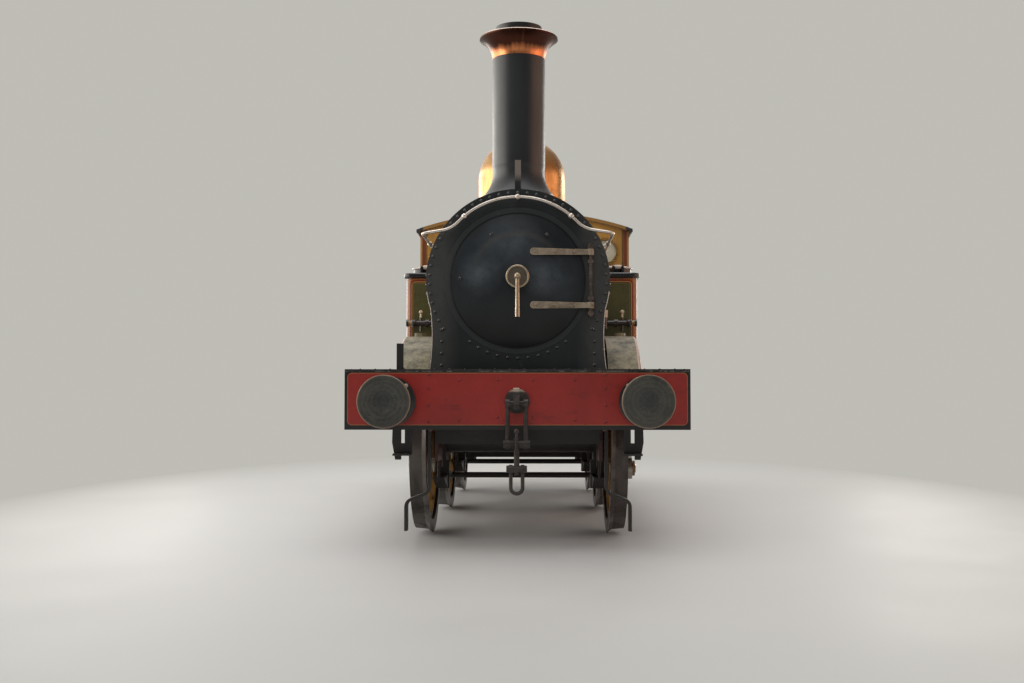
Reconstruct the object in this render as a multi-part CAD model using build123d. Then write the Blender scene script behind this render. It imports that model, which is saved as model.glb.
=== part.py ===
"""Six-coupled side tank steam locomotive, standard gauge, inside cylinders.

Millimetres, +Z up. The engine stands along Y with its smokebox at -Y, and X is across.
Heights in the driving dimensions are above the rail, and places along the engine are
counted from the outer face of the front buffer beam. The lowest points, the tips of the
wheel flanges, are at Z = 0.
"""
import os
from math import asin, atan2, cos, degrees, hypot, pi, radians, sin, sqrt

from build123d import *

os.makedirs("parts", exist_ok=True)

# Clearances
SEAT = 0.3              # between a curved face and the piece seated on it
RUNNING = 0.5           # radial, round a turning shaft or pin
SIDE_PLAY = 6.0         # along the axle, between a moving piece and its neighbour

# Buffer beams and running plate
FRAME_LENGTH = 7300.0   # over the outer faces of both beams
BEAM_WIDTH = 2390.0
BEAM_BOTTOM = 815.0
BEAM_THICK = 90.0
PLATE_TOP = 1234.0      # top of the running plate
PLATE_THICK = 12.0
VALANCE_DEPTH = 95.0
VALANCE_THICK = 12.0

# Main frames
FRAME_INSIDE = 595.0    # half the distance between the plates
FRAME_THICK = 25.0
FRAME_BELLY = 560.0     # lower edge between the wheels
FRAME_HORN_BOTTOM = 500.0
FRAME_NOSE_BOTTOM = 800.0
FRAME_CORNER = 25.0
HORN_LENGTH = 640.0     # length of the deep part at each axle
HORN_GAP = 250.0
HORN_TOP = 850.0
FRAME_HOLE_HEIGHT = 900.0
FRAME_HOLE_LENGTH = 760.0
FRAME_HOLE_DEPTH = 260.0
STRETCHER_THICK = 20.0
DRAG_PLATE_LENGTH = 420.0

# Wheels
WHEEL_RADIUS = 686.0
AXLE_PLACES = {"leading": 1250.0, "driving": 3300.0, "trailing": 5350.0}
BACK_TO_BACK = 1362.0
TYRE_WIDTH = 127.0
TYRE_THICK = 75.0
FLANGE_DEPTH = 28.0
FLANGE_WIDTH = 32.0
TREAD_FALL = 8.0        # how much the cone of the tread loses in radius
SPOKES = 14
RIM_THICK = 50.0
HUB_RADIUS = 135.0
AXLE_RADIUS = 85.0
AXLE_SEAT_RADIUS = 78.0
CRANK_THROW = 280.0
CRANKPIN_RADIUS = 42.0
RIGHT_PIN_ANGLE = -135.0    # degrees from +Y in the YZ plane, seen from +X
LEFT_PIN_ANGLE = -45.0
INSIDE_CRANK_X = 260.0
INSIDE_THROW = 285.0
INSIDE_PIN_LENGTH = 110.0
INSIDE_WEB_THICK = 80.0
INSIDE_WEB_WIDTH = 180.0

# Coupling rods
ROD_THICK = 36.0
ROD_DEPTH = 92.0
ROD_BOSS_RADIUS = 82.0

# Springs and brakes
SPRING_TOP = 430.0
SPRING_HALF_LENGTH = 430.0
LEAF_THICK = 16.0
LEAVES = 6
BRAKE_BEAM_HEIGHT = 370.0
BRAKE_GAP = 8.0

# Buffers
BUFFER_SPACING = 1740.0
BUFFER_HEIGHT = 1013.0
BUFFER_LENGTH = 450.0
BUFFER_HEAD_RADIUS = 177.0
BUFFER_HEAD_THICK = 32.0
BUFFER_STOCK_LENGTH = 300.0
BUFFER_SHANK_RADIUS = 45.0

# Draw hook and screw coupling
HOOK_HEIGHT = 1013.0
HOOK_WIDTH = 40.0
HOOK_EYE = 26.0
HOOK_EYE_OUT = 130.0
HOOK_COLLAR_RADIUS = 86.0
COUPLING_PIN_RADIUS = 18.0
COUPLING_BAR_RADIUS = 15.0
SHACKLE_HALF_WIDTH = 62.0
SHACKLE_DROP = 277.0    # from the hook's eye to the upper nut
SCREW_DROP = 170.0      # from the upper nut to the lower one
LINK_HALF_WIDTH = 40.0
LINK_DROP = 125.0       # from the lower nut to the bow of the link

# Smokebox
BOILER_HEIGHT = 1880.0
SMOKEBOX_FRONT = 350.0
SMOKEBOX_BACK = 1150.0
SMOKEBOX_RADIUS = 665.0
SMOKEBOX_WALL = 16.0
SMOKEBOX_PLATE = 18.0
SMOKEBOX_FOOT = 640.0       # half width at the running plate
SMOKEBOX_WAIST = 200.0      # how far below the centre the flanks begin
SMOKEBOX_HOLLOW = 16.0      # how far the flanks bow in
DOOR_RADIUS = 483.0
DOOR_OPENING = 440.0
DOOR_DISH = 78.0
DOOR_RIM = 14.0
DOOR_SHEET = 20.0
HINGE_X = 524.0
HINGE_PIN_RADIUS = 13.0
HINGE_HALF_HEIGHT = 240.0
STRAP_OFFSET = 192.0
STRAP_RISE = 10.0           # how far the pair of straps lies above the boiler's centre
STRAP_START = 88.0
STRAP_DEPTH = 52.0
STRAP_TAIL_DEPTH = 38.0     # depth of a strap at its hinge
STRAP_THICK = 14.0
HAND_WHEEL_RADIUS = 76.0
HAND_WHEEL_RISE = 16.0      # how far its centre lies above the boiler's
HANDLE_LENGTH = 290.0

# Chimney
CHIMNEY_PLACE = 750.0
CHIMNEY_RADIUS = 200.0
CHIMNEY_BORE = 160.0
CHIMNEY_SKIRT_RADIUS = 262.0
CHIMNEY_TOP = BOILER_HEIGHT + 1715.0
CAP_RIM_RADIUS = 297.0
CAP_RISE = 150.0            # from the chimney's top to the underside of the rim
CAP_RIM_THICK = 18.0
LINER_RADIUS = 176.0
LINER_RISE = 77.0           # how far the liner stands above the rim

# Boiler
BOILER_RADIUS = 635.0
BAND_THICK = 6.0
BAND_WIDTH = 60.0
BAND_PLACES = (2000.0, 3050.0)
FIREBOX_FRONT = 3720.0
BACKHEAD = 4850.0
FIREBOX_HALF_WIDTH = 560.0
FIREBOX_BOTTOM = 800.0
FIREBOX_SHOULDER = 330.0    # below the centre, where the sides turn in
ASHPAN_BOTTOM = 430.0
DOME_PLACE = 2450.0
DOME_RADIUS = 388.0
DOME_FLARE = 60.0
DOME_SHOULDER = BOILER_HEIGHT + 1085.0
DOME_TOP = BOILER_HEIGHT + 1470.0
DOME_EDGE_RADIUS = 340.0
VALVE_PLACE = 4080.0

# Firehole
FIREHOLE_HEIGHT = BOILER_HEIGHT - 320.0
FIREHOLE_RADIUS = 150.0
FIREDOOR_RADIUS = 190.0
FIREDOOR_THICK = 18.0
FIREDOOR_HINGE_X = -215.0

# Side tanks
TANK_FRONT = 2200.0
TANK_HALF_WIDTH = BEAM_WIDTH / 2 - 185.0
TANK_INSIDE = 655.0
TANK_TOP = BOILER_HEIGHT + 190.0
TANK_CORNER = 60.0
CORNICE_REACH = 24.0
CORNICE_THICK = 46.0
CORNICE_ROUND = 16.0
FILLER_PLACE = 2650.0
FILLER_X = 860.0
FILLER_RADIUS = 130.0
FILLER_WALL = 14.0
FILLER_HEIGHT = 70.0

# Cab and bunker
CAB_FRONT = 4350.0
CAB_BACK = 6150.0
CAB_HALF_WIDTH = BEAM_WIDTH / 2 - 100.0
CAB_WALL = 20.0
EAVES_HEIGHT = BOILER_HEIGHT + 899.0
EAVES_COVE = 50.0           # depth of the hollow moulding below the eaves
ROOF_HALF_WIDTH = CAB_HALF_WIDTH + 37.0
ROOF_CROWN = EAVES_HEIGHT + 186.0
ROOF_THICK = 30.0
ROOF_FRONT_REACH = 60.0
ROOF_BACK_REACH = 90.0
WINDOW_X = CAB_HALF_WIDTH - 255.0
WINDOW_HEIGHT = EAVES_HEIGHT - 233.0
WINDOW_RADIUS = 128.0
SIDE_WINDOW_TOP = EAVES_HEIGHT - 169.0
SIDE_WINDOW_CORNER = 200.0
CAB_POST = 330.0            # cab side before and behind the side window
DOORWAY_FRONT = 4900.0
DOORWAY_BACK = 5650.0
DOORWAY_RAIL_RADIUS = 14.0
DOORWAY_RAIL_GAP = 60.0     # from the doorway's edge to its rail
DOORWAY_RAIL_STAND_OFF = 45.0
BUNKER_TOP = BOILER_HEIGHT + 240.0
BUNKER_BACK = FRAME_LENGTH - 120.0
BUNKER_WALL = 16.0
BUNKER_FLOOR = 1734.0
BUNKER_CORNER = 60.0

# Splashers
SPLASHER_RADIUS = 830.0
SPLASHER_INSIDE = 665.0
SPLASHER_OUTSIDE = 915.0
SPLASHER_WALL = 40.0
SPLASHER_ROUND = 32.0
CAB_SPLASHER_RADIUS = 770.0
WHEEL_ROOM = 20.0           # between a flange and the cover over it

# Handrail
RAIL_TUBE = 11.0
RAIL_X = 685.0
RAIL_ARC_RADIUS = 596.0
RAIL_ARC_ANGLE = 46.0
RAIL_STAND_OFF = 75.0
PILLAR_PLACES = (900.0, 1700.0, 2600.0, 3500.0)
PILLAR_RADIUS = 9.0
KNOB_RADIUS = 20.0
KNOB_ANGLES = (90.0, 130.0, 50.0)

# Feed pipes
FEED_PLACE = 2110.0
FEED_HEIGHT = BOILER_HEIGHT - 208.0
FEED_X = 930.0
FEED_RADIUS = 23.0
FEED_STUB = 66.0            # how far the capped end stands beyond the bend

# Guard irons
GUARD_PLACES = (300.0, 380.0)
GUARD_THICK = 22.0
GUARD_REACH = 119.0         # from the wheel's back to the middle of the iron's foot
GUARD_FOOT = 85.0
GUARD_BEND = 360.0          # where the iron turns outward
GUARD_BEND_RADIUS = 55.0

# Steps
STEP_INSIDE = 965.0
STEP_HEIGHTS = (400.0, 800.0)
STEP_HALF_LENGTH = 200.0
STEP_SHEET = 14.0
STIRRUP_INSIDE = 750.0      # front stirrups, hung below the beam
STIRRUP_OUTSIDE = 890.0
STIRRUP_PLACES = (110.0, 260.0)
STIRRUP_TREAD = 630.0


def at(place):
    """Y of a place counted back from the face of the front beam."""
    return place - FRAME_LENGTH / 2


def above(height):
    """Z of a height above the rail."""
    return height + FLANGE_DEPTH


def block(x0, x1, place0, place1, height0, height1):
    """Box between two X values, two places and two heights above the rail."""
    size = (abs(x1 - x0), abs(place1 - place0), abs(height1 - height0))
    centre = ((x0 + x1) / 2, at((place0 + place1) / 2), above((height0 + height1) / 2))
    return Pos(*centre) * Box(*size)


def barrel(radius, place0, place1, height, x=0.0):
    """Cylinder along Y between two places."""
    middle = Pos(x, at((place0 + place1) / 2), above(height))
    return middle * Rot(90, 0, 0) * Cylinder(radius, abs(place1 - place0))


def column(radius, x, place, height0, height1):
    """Upright cylinder between two heights."""
    middle = Pos(x, at(place), above((height0 + height1) / 2))
    return middle * Cylinder(radius, abs(height1 - height0))


def crosswise(radius, x0, x1, place, height):
    """Cylinder along X."""
    middle = Pos((x0 + x1) / 2, at(place), above(height))
    return middle * Rot(0, 90, 0) * Cylinder(radius, abs(x1 - x0))


def turned(points, axis_place, axis_height):
    """Revolve (x, radius) points about the X axis, then set them on an axle line."""
    face = make_face(Polyline(*[(x, r) for x, r in points], close=True).edges())
    return Pos(0, at(axis_place), above(axis_height)) * revolve(face, Axis.X)


def spun(points, x, place):
    """Revolve (radius, height) points about an upright line."""
    face = make_face(Polyline(*[(r, 0, above(h)) for r, h in points], close=True).edges())
    return Pos(x, at(place), 0) * revolve(face, Axis.Z)


def side_plate(x0, x1, sketch):
    """Extrude a sketch drawn in (Y, Z) from x0 to x1."""
    return extrude(Plane.YZ.offset(x0) * sketch, x1 - x0)


def cross_plate(place0, place1, sketch):
    """Extrude a sketch drawn in (X, Z) from one place back to another."""
    return extrude(Plane.XZ.offset(-at(place0)) * sketch, -(place1 - place0))


def left(shape):
    """The same piece on the other side of the engine."""
    return mirror(shape, about=Plane.YZ)


def pair(shape):
    """A piece and its mirror image."""
    return solids_of(shape) + solids_of(left(shape))


def solids_of(*shapes):
    """All solids of some shapes, in one list."""
    found = []
    for shape in shapes:
        if isinstance(shape, (list, tuple)):
            found += solids_of(*shape)
        else:
            found += list(shape.solids())
    return found


def save(name, *shapes):
    """Write the solids of one node."""
    solids = solids_of(*shapes)
    result = solids[0] if len(solids) == 1 else Compound(children=solids)
    export_step(result, f"parts/{name}.step")


BEAM_TOP = PLATE_TOP - PLATE_THICK
REAR_BEAM = FRAME_LENGTH - BEAM_THICK
FRAME_OUTSIDE = FRAME_INSIDE + FRAME_THICK
UNDER_BOILER = min(BEAM_TOP, BOILER_HEIGHT - BOILER_RADIUS - BAND_THICK - SIDE_PLAY)
WHEEL_BACK = BACK_TO_BACK / 2
WHEEL_FACE = WHEEL_BACK + TYRE_WIDTH
COVER_RADIUS = WHEEL_RADIUS + FLANGE_DEPTH + WHEEL_ROOM
COVER_INSIDE = WHEEL_BACK - 2 * SIDE_PLAY
COVER_OUTSIDE = WHEEL_FACE + 2 * SIDE_PLAY
HUB_FACE = WHEEL_FACE + 17
ROD_INSIDE = HUB_FACE + SIDE_PLAY
ROD_OUTSIDE = ROD_INSIDE + ROD_THICK
TREAD_INNER = WHEEL_RADIUS - TYRE_THICK


def build_frames():
    """Two plates with deep horns at the axles and long holes between them."""
    corner = (Align.MIN, Align.MIN)
    depth = BEAM_TOP - FRAME_NOSE_BOTTOM
    nose = Rectangle(REAR_BEAM - BEAM_THICK, depth, align=corner)
    outline = Pos(at(BEAM_THICK), above(FRAME_NOSE_BOTTOM)) * nose
    first = AXLE_PLACES["leading"] - HORN_LENGTH
    last = AXLE_PLACES["trailing"] + HORN_LENGTH
    belly = Rectangle(last - first, BEAM_TOP - FRAME_BELLY, align=corner)
    outline += Pos(at(first), above(FRAME_BELLY)) * belly
    places = list(AXLE_PLACES.values())
    middle = (Align.CENTER, Align.MIN)
    for place in places:
        foot = Rectangle(HORN_LENGTH, BEAM_TOP - FRAME_HORN_BOTTOM, align=middle)
        outline += Pos(at(place), above(FRAME_HORN_BOTTOM)) * foot
    outline = fillet(outline.vertices(), FRAME_CORNER)
    for place in places:
        gap = Rectangle(HORN_GAP, HORN_TOP - FRAME_HORN_BOTTOM + 1, align=middle)
        outline -= Pos(at(place), above(FRAME_HORN_BOTTOM - 1)) * gap
    for here, following in zip(places, places[1:]):
        hole = SlotOverall(FRAME_HOLE_LENGTH, FRAME_HOLE_DEPTH)
        outline -= Pos(at((here + following) / 2), above(FRAME_HOLE_HEIGHT)) * hole
    plate = side_plate(FRAME_INSIDE, FRAME_OUTSIDE, outline)
    save("main_frames", *pair(plate))


def build_stretchers():
    """Upright plates between the frames, and the flat drag plate behind."""
    inside = FRAME_INSIDE
    stretchers = []
    for place, bottom, top in (
        (AXLE_PLACES["leading"] + 150, HORN_TOP, UNDER_BOILER),
        (AXLE_PLACES["leading"] + 830, FRAME_BELLY + 80, UNDER_BOILER - 42),
        (AXLE_PLACES["trailing"] + 150, FRAME_BELLY + 60, BEAM_TOP),
        (AXLE_PLACES["trailing"] + 950, FRAME_BELLY + 80, BEAM_TOP),
    ):
        stretchers.append(block(-inside, inside, place, place + STRETCHER_THICK, bottom, top))
    low = FRAME_NOSE_BOTTOM + STRETCHER_THICK
    drag_front = REAR_BEAM - DRAG_PLATE_LENGTH
    stretchers.append(block(-inside, inside, drag_front, REAR_BEAM, low, low + FRAME_THICK))
    save("frame_stretchers", *stretchers)


def wheel_slot(radius):
    """Half length of the slot that a wheel of this cover radius needs at the running plate."""
    return sqrt(radius**2 - (BEAM_TOP - WHEEL_RADIUS) ** 2)


def build_running_plate():
    """One plate over the frames, open over the wheels and below the boiler, with its valances."""
    low = BEAM_TOP - 1
    high = PLATE_TOP + 1
    plate = block(-BEAM_WIDTH / 2, BEAM_WIDTH / 2, 0, FRAME_LENGTH, BEAM_TOP, PLATE_TOP)
    reach = wheel_slot(COVER_RADIUS)
    for place in AXLE_PLACES.values():
        for side in (-1, 1):
            x0 = side * COVER_INSIDE
            x1 = side * COVER_OUTSIDE
            plate -= block(x0, x1, place - reach, place + reach, low, high)
    half = FIREBOX_HALF_WIDTH + FRAME_THICK
    plate -= block(-half, half, AXLE_PLACES["leading"] + 170, BACKHEAD + 12, low, high)
    edge = BEAM_WIDTH / 2
    for side in (-1, 1):
        inner = side * (edge - VALANCE_THICK)
        plate += block(inner, side * edge, BEAM_THICK, REAR_BEAM, BEAM_TOP - VALANCE_DEPTH, BEAM_TOP)
    save("running_plate", plate)


def build_beams():
    half = BEAM_WIDTH / 2
    front = block(-half, half, 0, BEAM_THICK, BEAM_BOTTOM, BEAM_TOP)
    rear = block(-half, half, REAR_BEAM, FRAME_LENGTH, BEAM_BOTTOM, BEAM_TOP)
    save("buffer_beams", front, rear)


def to_rear(shape):
    """A piece of the front end, turned round for the rear end."""
    return Rot(0, 0, 180) * shape


def build_buffers():
    """Tapered stocks bolted to the beams, and sprung heads on their shanks."""
    stocks = []
    heads = []
    shank = BUFFER_SHANK_RADIUS
    bore = shank + RUNNING
    end = BUFFER_STOCK_LENGTH
    tip = BUFFER_LENGTH
    dome = 12.0
    back = tip - BUFFER_HEAD_THICK
    edge = BUFFER_HEAD_RADIUS
    stock = [
        (bore, 0), (170, 0), (170, 28), (128, 34), (112, 60),
        (98, end - 26), (106, end - 24), (106, end), (bore, end),
    ]
    head = [
        (0, 30), (shank, 30), (shank, back - 90), (70, back - 30), (150, back), (edge, back),
        (edge, tip - dome), (edge - 8, tip - dome + 5), (90, tip - 2), (0, tip),
    ]
    for side in (-1, 1):
        placed = Pos(side * BUFFER_SPACING / 2, at(0), above(BUFFER_HEIGHT)) * Rot(90, 0, 0)
        for profile, pieces in ((stock, stocks), (head, heads)):
            face = make_face(Polyline(*[(r, 0, y) for r, y in profile], close=True).edges())
            pieces.append(placed * revolve(face, Axis.Z))
    save("buffer_stocks", *stocks, *[to_rear(s) for s in stocks])
    save("buffer_heads", *heads, *[to_rear(s) for s in heads])


def build_drawhook():
    """The draw hook: a round collar on the beam, an eye and an upturned point."""
    base = at(0)
    outline = Polyline(
        (base, above(HOOK_HEIGHT + 38)), (base, above(HOOK_HEIGHT - 38)),
        (base - 120, above(HOOK_HEIGHT - 52)), (base - 185, above(HOOK_HEIGHT - 55)),
        (base - 255, above(HOOK_HEIGHT - 20)), (base - 275, above(HOOK_HEIGHT + 40)),
        (base - 268, above(HOOK_HEIGHT + 92)), (base - 240, above(HOOK_HEIGHT + 88)),
        (base - 236, above(HOOK_HEIGHT + 40)), (base - 215, above(HOOK_HEIGHT + 14)),
        (base - 185, above(HOOK_HEIGHT + 18)), (base - 160, above(HOOK_HEIGHT + 46)),
        close=True,
    )
    sketch = make_face(outline.edges())
    sketch = fillet([v for v in sketch.vertices() if v.X < base - 1], 8)
    sketch -= Pos(base - HOOK_EYE_OUT, above(HOOK_HEIGHT - 6)) * Circle(HOOK_EYE)
    hook = side_plate(-HOOK_WIDTH / 2, HOOK_WIDTH / 2, sketch)
    collar = barrel(HOOK_COLLAR_RADIUS, -16, 0, HOOK_HEIGHT)
    return hook + collar + barrel(HOOK_COLLAR_RADIUS - 24, -34, -16, HOOK_HEIGHT)


def upright(radius, x, y, z0, z1):
    """Upright cylinder given by its own Y and Z values."""
    return Pos(x, y, (z0 + z1) / 2) * Cylinder(radius, abs(z1 - z0))


def build_couplings():
    """Screw coupling: a shackle through the hook's eye, the screw with its lever, and the lower link."""
    y = at(0) - HOOK_EYE_OUT
    eye = above(HOOK_HEIGHT - 6) - (HOOK_EYE - COUPLING_PIN_RADIUS - SEAT)
    bar = COUPLING_BAR_RADIUS
    upper_nut = eye - SHACKLE_DROP
    lower_nut = upper_nut - SCREW_DROP
    across = Rot(0, 90, 0)
    whole = Pos(0, y, eye) * across * Cylinder(COUPLING_PIN_RADIUS, 2 * SHACKLE_HALF_WIDTH)
    whole += Pos(0, y, upper_nut) * across * Cylinder(27, 2 * SHACKLE_HALF_WIDTH + 56)
    whole += Pos(0, y, lower_nut) * across * Cylinder(25, 2 * LINK_HALF_WIDTH + 60)
    whole += upright(19, 0, y, upper_nut + 40, lower_nut - 40)
    for side in (-1, 1):
        x = side * SHACKLE_HALF_WIDTH
        whole += Pos(x, y, eye) * across * Cylinder(30, 2 * bar)
        whole += upright(bar, x, y, eye, upper_nut)
        whole += Pos(x, y, upper_nut) * across * Cylinder(33, 2 * bar)
        x = side * LINK_HALF_WIDTH
        whole += Pos(x, y, lower_nut) * across * Cylinder(31, 2 * bar - 4)
        whole += upright(bar - 2, x, y, lower_nut, lower_nut - LINK_DROP)
    half = LINK_HALF_WIDTH
    bow = Torus(half, bar - 2) & (Pos(0, -half, 0) * Box(4 * half, 2 * half, 4 * half))
    whole += Pos(0, y, lower_nut - LINK_DROP) * Rot(90, 0, 0) * bow
    lever_y = y - 52
    whole += Pos(0, (y + lever_y) / 2, upper_nut - 46) * Box(26, 78, 26)
    whole += upright(10, 0, lever_y, upper_nut - 50, upper_nut + 85)
    whole += Pos(0, lever_y, upper_nut + 88) * Sphere(19)
    hook = build_drawhook()
    save("draw_hooks", hook, to_rear(hook))
    save("screw_couplings", whole, to_rear(whole))


def smokebox_outline(shrink=0.0):
    """Front view of the smokebox: a round top, then flanks that flare to the running plate."""
    radius = SMOKEBOX_RADIUS - shrink
    waist_x = sqrt(radius**2 - SMOKEBOX_WAIST**2)
    foot = SMOKEBOX_FOOT - shrink
    base = above(PLATE_TOP)
    centre = above(BOILER_HEIGHT)
    waist = centre - SMOKEBOX_WAIST
    bowed = ((waist_x + foot) / 2 - SMOKEBOX_HOLLOW, (waist + base) / 2 + 20)
    right_side = ThreePointArc((waist_x, waist), bowed, (foot, base))
    left_side = ThreePointArc((-foot, base), (-bowed[0], bowed[1]), (-waist_x, waist))
    top = ThreePointArc((-waist_x, waist), (0, centre + radius), (waist_x, waist))
    floor = Line((foot, base), (-foot, base))
    return make_face([*right_side.edges(), *floor.edges(), *left_side.edges(), *top.edges()])


def build_smokebox():
    """Wrapper with its floor, open to the chimney, and the front plate with the round doorway."""
    front = SMOKEBOX_FRONT + SMOKEBOX_PLATE
    shell = cross_plate(front, SMOKEBOX_BACK, smokebox_outline())
    hollow = cross_plate(front - 1, SMOKEBOX_BACK + 1, smokebox_outline(SMOKEBOX_WALL))
    foot = SMOKEBOX_FOOT
    hollow -= block(-foot, foot, SMOKEBOX_FRONT, SMOKEBOX_BACK + 5, PLATE_TOP - 2, PLATE_TOP + SMOKEBOX_WALL)
    crown = BOILER_HEIGHT + SMOKEBOX_RADIUS
    shell -= hollow
    shell -= column(CHIMNEY_BORE, 0, CHIMNEY_PLACE, BOILER_HEIGHT + SMOKEBOX_RADIUS / 2, crown + 100)
    save("smokebox", shell)

    face = cross_plate(SMOKEBOX_FRONT, front, smokebox_outline())
    save("smokebox_front", face - barrel(DOOR_OPENING, SMOKEBOX_FRONT - 5, front + 5, BOILER_HEIGHT))


def build_smokebox_door():
    """Dished door, its two tapering straps, and the hand wheel with its locking handle."""
    dish_radius = (DOOR_RADIUS**2 + DOOR_DISH**2) / (2 * DOOR_DISH)
    centre_z = above(BOILER_HEIGHT)
    back = at(SMOKEBOX_FRONT) - SEAT
    rim_front = back - DOOR_RIM
    crown = rim_front - DOOR_DISH
    middle = sin(asin(DOOR_RADIUS / dish_radius) / 2) * dish_radius
    sag = dish_radius - sqrt(dish_radius**2 - middle**2)
    outer_arc = ThreePointArc((0, crown), (middle, crown + sag), (DOOR_RADIUS, rim_front))
    inner_radius = dish_radius - DOOR_SHEET
    inner_depth = back - crown - DOOR_SHEET
    inner_reach = sqrt(inner_radius**2 - (inner_radius - inner_depth) ** 2)
    half_angle = asin(inner_reach / inner_radius) / 2
    inner_sag = inner_radius * (1 - cos(half_angle))
    inner_middle = (inner_radius * sin(half_angle), crown + DOOR_SHEET + inner_sag)
    inner_arc = ThreePointArc((inner_reach, back), inner_middle, (0, crown + DOOR_SHEET))
    lines = [
        *outer_arc.edges(),
        *Line((DOOR_RADIUS, rim_front), (DOOR_RADIUS, back)).edges(),
        *Line((DOOR_RADIUS, back), (inner_reach, back)).edges(),
        *inner_arc.edges(),
        *Line((0, crown + DOOR_SHEET), (0, crown)).edges(),
    ]
    door = Pos(0, 0, centre_z) * revolve(make_face(lines), Axis.Y)
    save("smokebox_door", door)

    knuckle_y = at(SMOKEBOX_FRONT) - 26
    ball_centre = Pos(0, crown + dish_radius, centre_z)
    over_door = ball_centre * Sphere(dish_radius + STRAP_THICK)
    under_strap = ball_centre * Sphere(dish_radius + SEAT)
    half_chord = sqrt(DOOR_RADIUS**2 - (STRAP_OFFSET + STRAP_RISE) ** 2)
    deep = STRAP_DEPTH / 2
    tail = STRAP_TAIL_DEPTH / 2
    tip = STRAP_START + deep
    fittings = []
    for side in (-1, 1):
        height = BOILER_HEIGHT + STRAP_RISE + side * STRAP_OFFSET
        z = above(height)
        taper = make_face(Polyline(
            (tip, z - deep), (HINGE_X, z - tail), (HINGE_X, z + tail), (tip, z + deep), close=True,
        ).edges())
        taper += Pos(tip, z) * Circle(deep)
        curved = cross_plate(SMOKEBOX_FRONT - 140, SMOKEBOX_FRONT - 10, taper)
        curved = (curved & over_door) - under_strap
        low = height - 100
        high = height + 100
        curved &= block(0, half_chord - 4, SMOKEBOX_FRONT - 200, SMOKEBOX_FRONT - 10, low, high)
        arm = cross_plate(SMOKEBOX_FRONT - 46, SMOKEBOX_FRONT - 18, taper)
        arm &= block(half_chord - 30, HINGE_X, SMOKEBOX_FRONT - 200, SMOKEBOX_FRONT, low, high)
        arm -= under_strap & block(0, DOOR_RADIUS + 2, SMOKEBOX_FRONT - 200, SMOKEBOX_FRONT + 20, low, high)
        hinge = Pos(HINGE_X, knuckle_y, z)
        strap = curved + arm + hinge * Cylinder(HINGE_PIN_RADIUS + 12, STRAP_TAIL_DEPTH + 6)
        strap -= hinge * Cylinder(HINGE_PIN_RADIUS + RUNNING, STRAP_DEPTH + 10)
        fittings.append(strap)
    save("door_straps", *fittings)

    along = Rot(90, 0, 0)
    wheel_z = centre_z + HAND_WHEEL_RISE
    hub = Pos(0, crown - 20, centre_z) * along * Cylinder(34, 40 - 2 * SEAT)
    spindle = Pos(0, crown - 62, centre_z) * along * Cylinder(16, 100)
    ring = Pos(0, crown - 62, wheel_z) * along * Torus(HAND_WHEEL_RADIUS, 8)
    web = Pos(0, crown - 58, wheel_z) * along * Cylinder(HAND_WHEEL_RADIUS, 7)
    ball = Pos(0, crown - 108, wheel_z) * Sphere(23)
    handle_top = wheel_z - HANDLE_LENGTH / 2
    handle = Pos(0, crown - 102, handle_top) * Cone(19, 14, HANDLE_LENGTH)
    save("door_handles", hub + spindle + ring + web + ball + handle)

    pin = Pos(HINGE_X, knuckle_y, centre_z) * Cylinder(HINGE_PIN_RADIUS, 2 * HINGE_HALF_HEIGHT + 30)
    for height in (-HINGE_HALF_HEIGHT, -STRAP_OFFSET + 60, STRAP_OFFSET - 60, HINGE_HALF_HEIGHT):
        lug = Pos(HINGE_X, at(SMOKEBOX_FRONT) - 20, centre_z + height)
        pin += lug * Box(40, 40, 24)
    for side in (-1, 1):
        end = centre_z + side * (HINGE_HALF_HEIGHT + 15)
        pin += Pos(HINGE_X, knuckle_y, end) * Sphere(HINGE_PIN_RADIUS + 4)
    save("door_hinge", pin)


def upright_turning(curve, corners):
    """Revolve a curve, closed by straight lines through (radius, height) corners, about the Z axis."""
    points = [(radius, 0, above(height)) for radius, height in corners]
    lines = [*curve.edges()]
    for here, following in zip(points, points[1:]):
        lines += Line(here, following).edges()
    return revolve(make_face(lines), Axis.Z)


def build_chimney():
    """Chimney with a flared skirt and a liner, and the copper cap seated round the liner."""
    saddle = barrel(SMOKEBOX_RADIUS + SEAT, CHIMNEY_PLACE - 400, CHIMNEY_PLACE + 400, BOILER_HEIGHT)
    top_of_box = BOILER_HEIGHT + SMOKEBOX_RADIUS
    bore = CHIMNEY_BORE
    radius = CHIMNEY_RADIUS
    skirt = CHIMNEY_SKIRT_RADIUS
    low = top_of_box - 105
    skirt_low = top_of_box + 14
    skirt_top = top_of_box + 230
    rim_low = CHIMNEY_TOP + CAP_RISE
    rim_top = rim_low + CAP_RIM_THICK
    liner_top = rim_top + LINER_RISE
    flare = ThreePointArc(
        (skirt, 0, above(skirt_low)), (radius + 16, 0, above(skirt_low + 71)), (radius, 0, above(skirt_top))
    )
    corners = [
        (radius, skirt_top), (radius, CHIMNEY_TOP), (LINER_RADIUS, CHIMNEY_TOP), (LINER_RADIUS, liner_top),
        (bore, liner_top), (bore, low), (skirt, low), (skirt, skirt_low),
    ]
    body = upright_turning(flare, corners)
    save("chimney", Pos(0, at(CHIMNEY_PLACE), 0) * body - saddle)

    inside = LINER_RADIUS + SEAT
    base = CHIMNEY_TOP + SEAT
    rim = CAP_RIM_RADIUS
    spread = rim - radius
    half_way = (radius + 0.22 * spread, 0, above(base + CAP_RISE / 2))
    bell = ThreePointArc((radius, 0, above(base)), half_way, (rim, 0, above(rim_low)))
    corners = [
        (rim, rim_low), (rim, rim_top - 5), (rim - 5, rim_top), (inside + 14, rim_top + 18),
        (inside, rim_top + 18), (inside, base), (radius, base),
    ]
    cap = upright_turning(bell, corners)
    save("chimney_cap", Pos(0, at(CHIMNEY_PLACE), 0) * cap)


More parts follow.
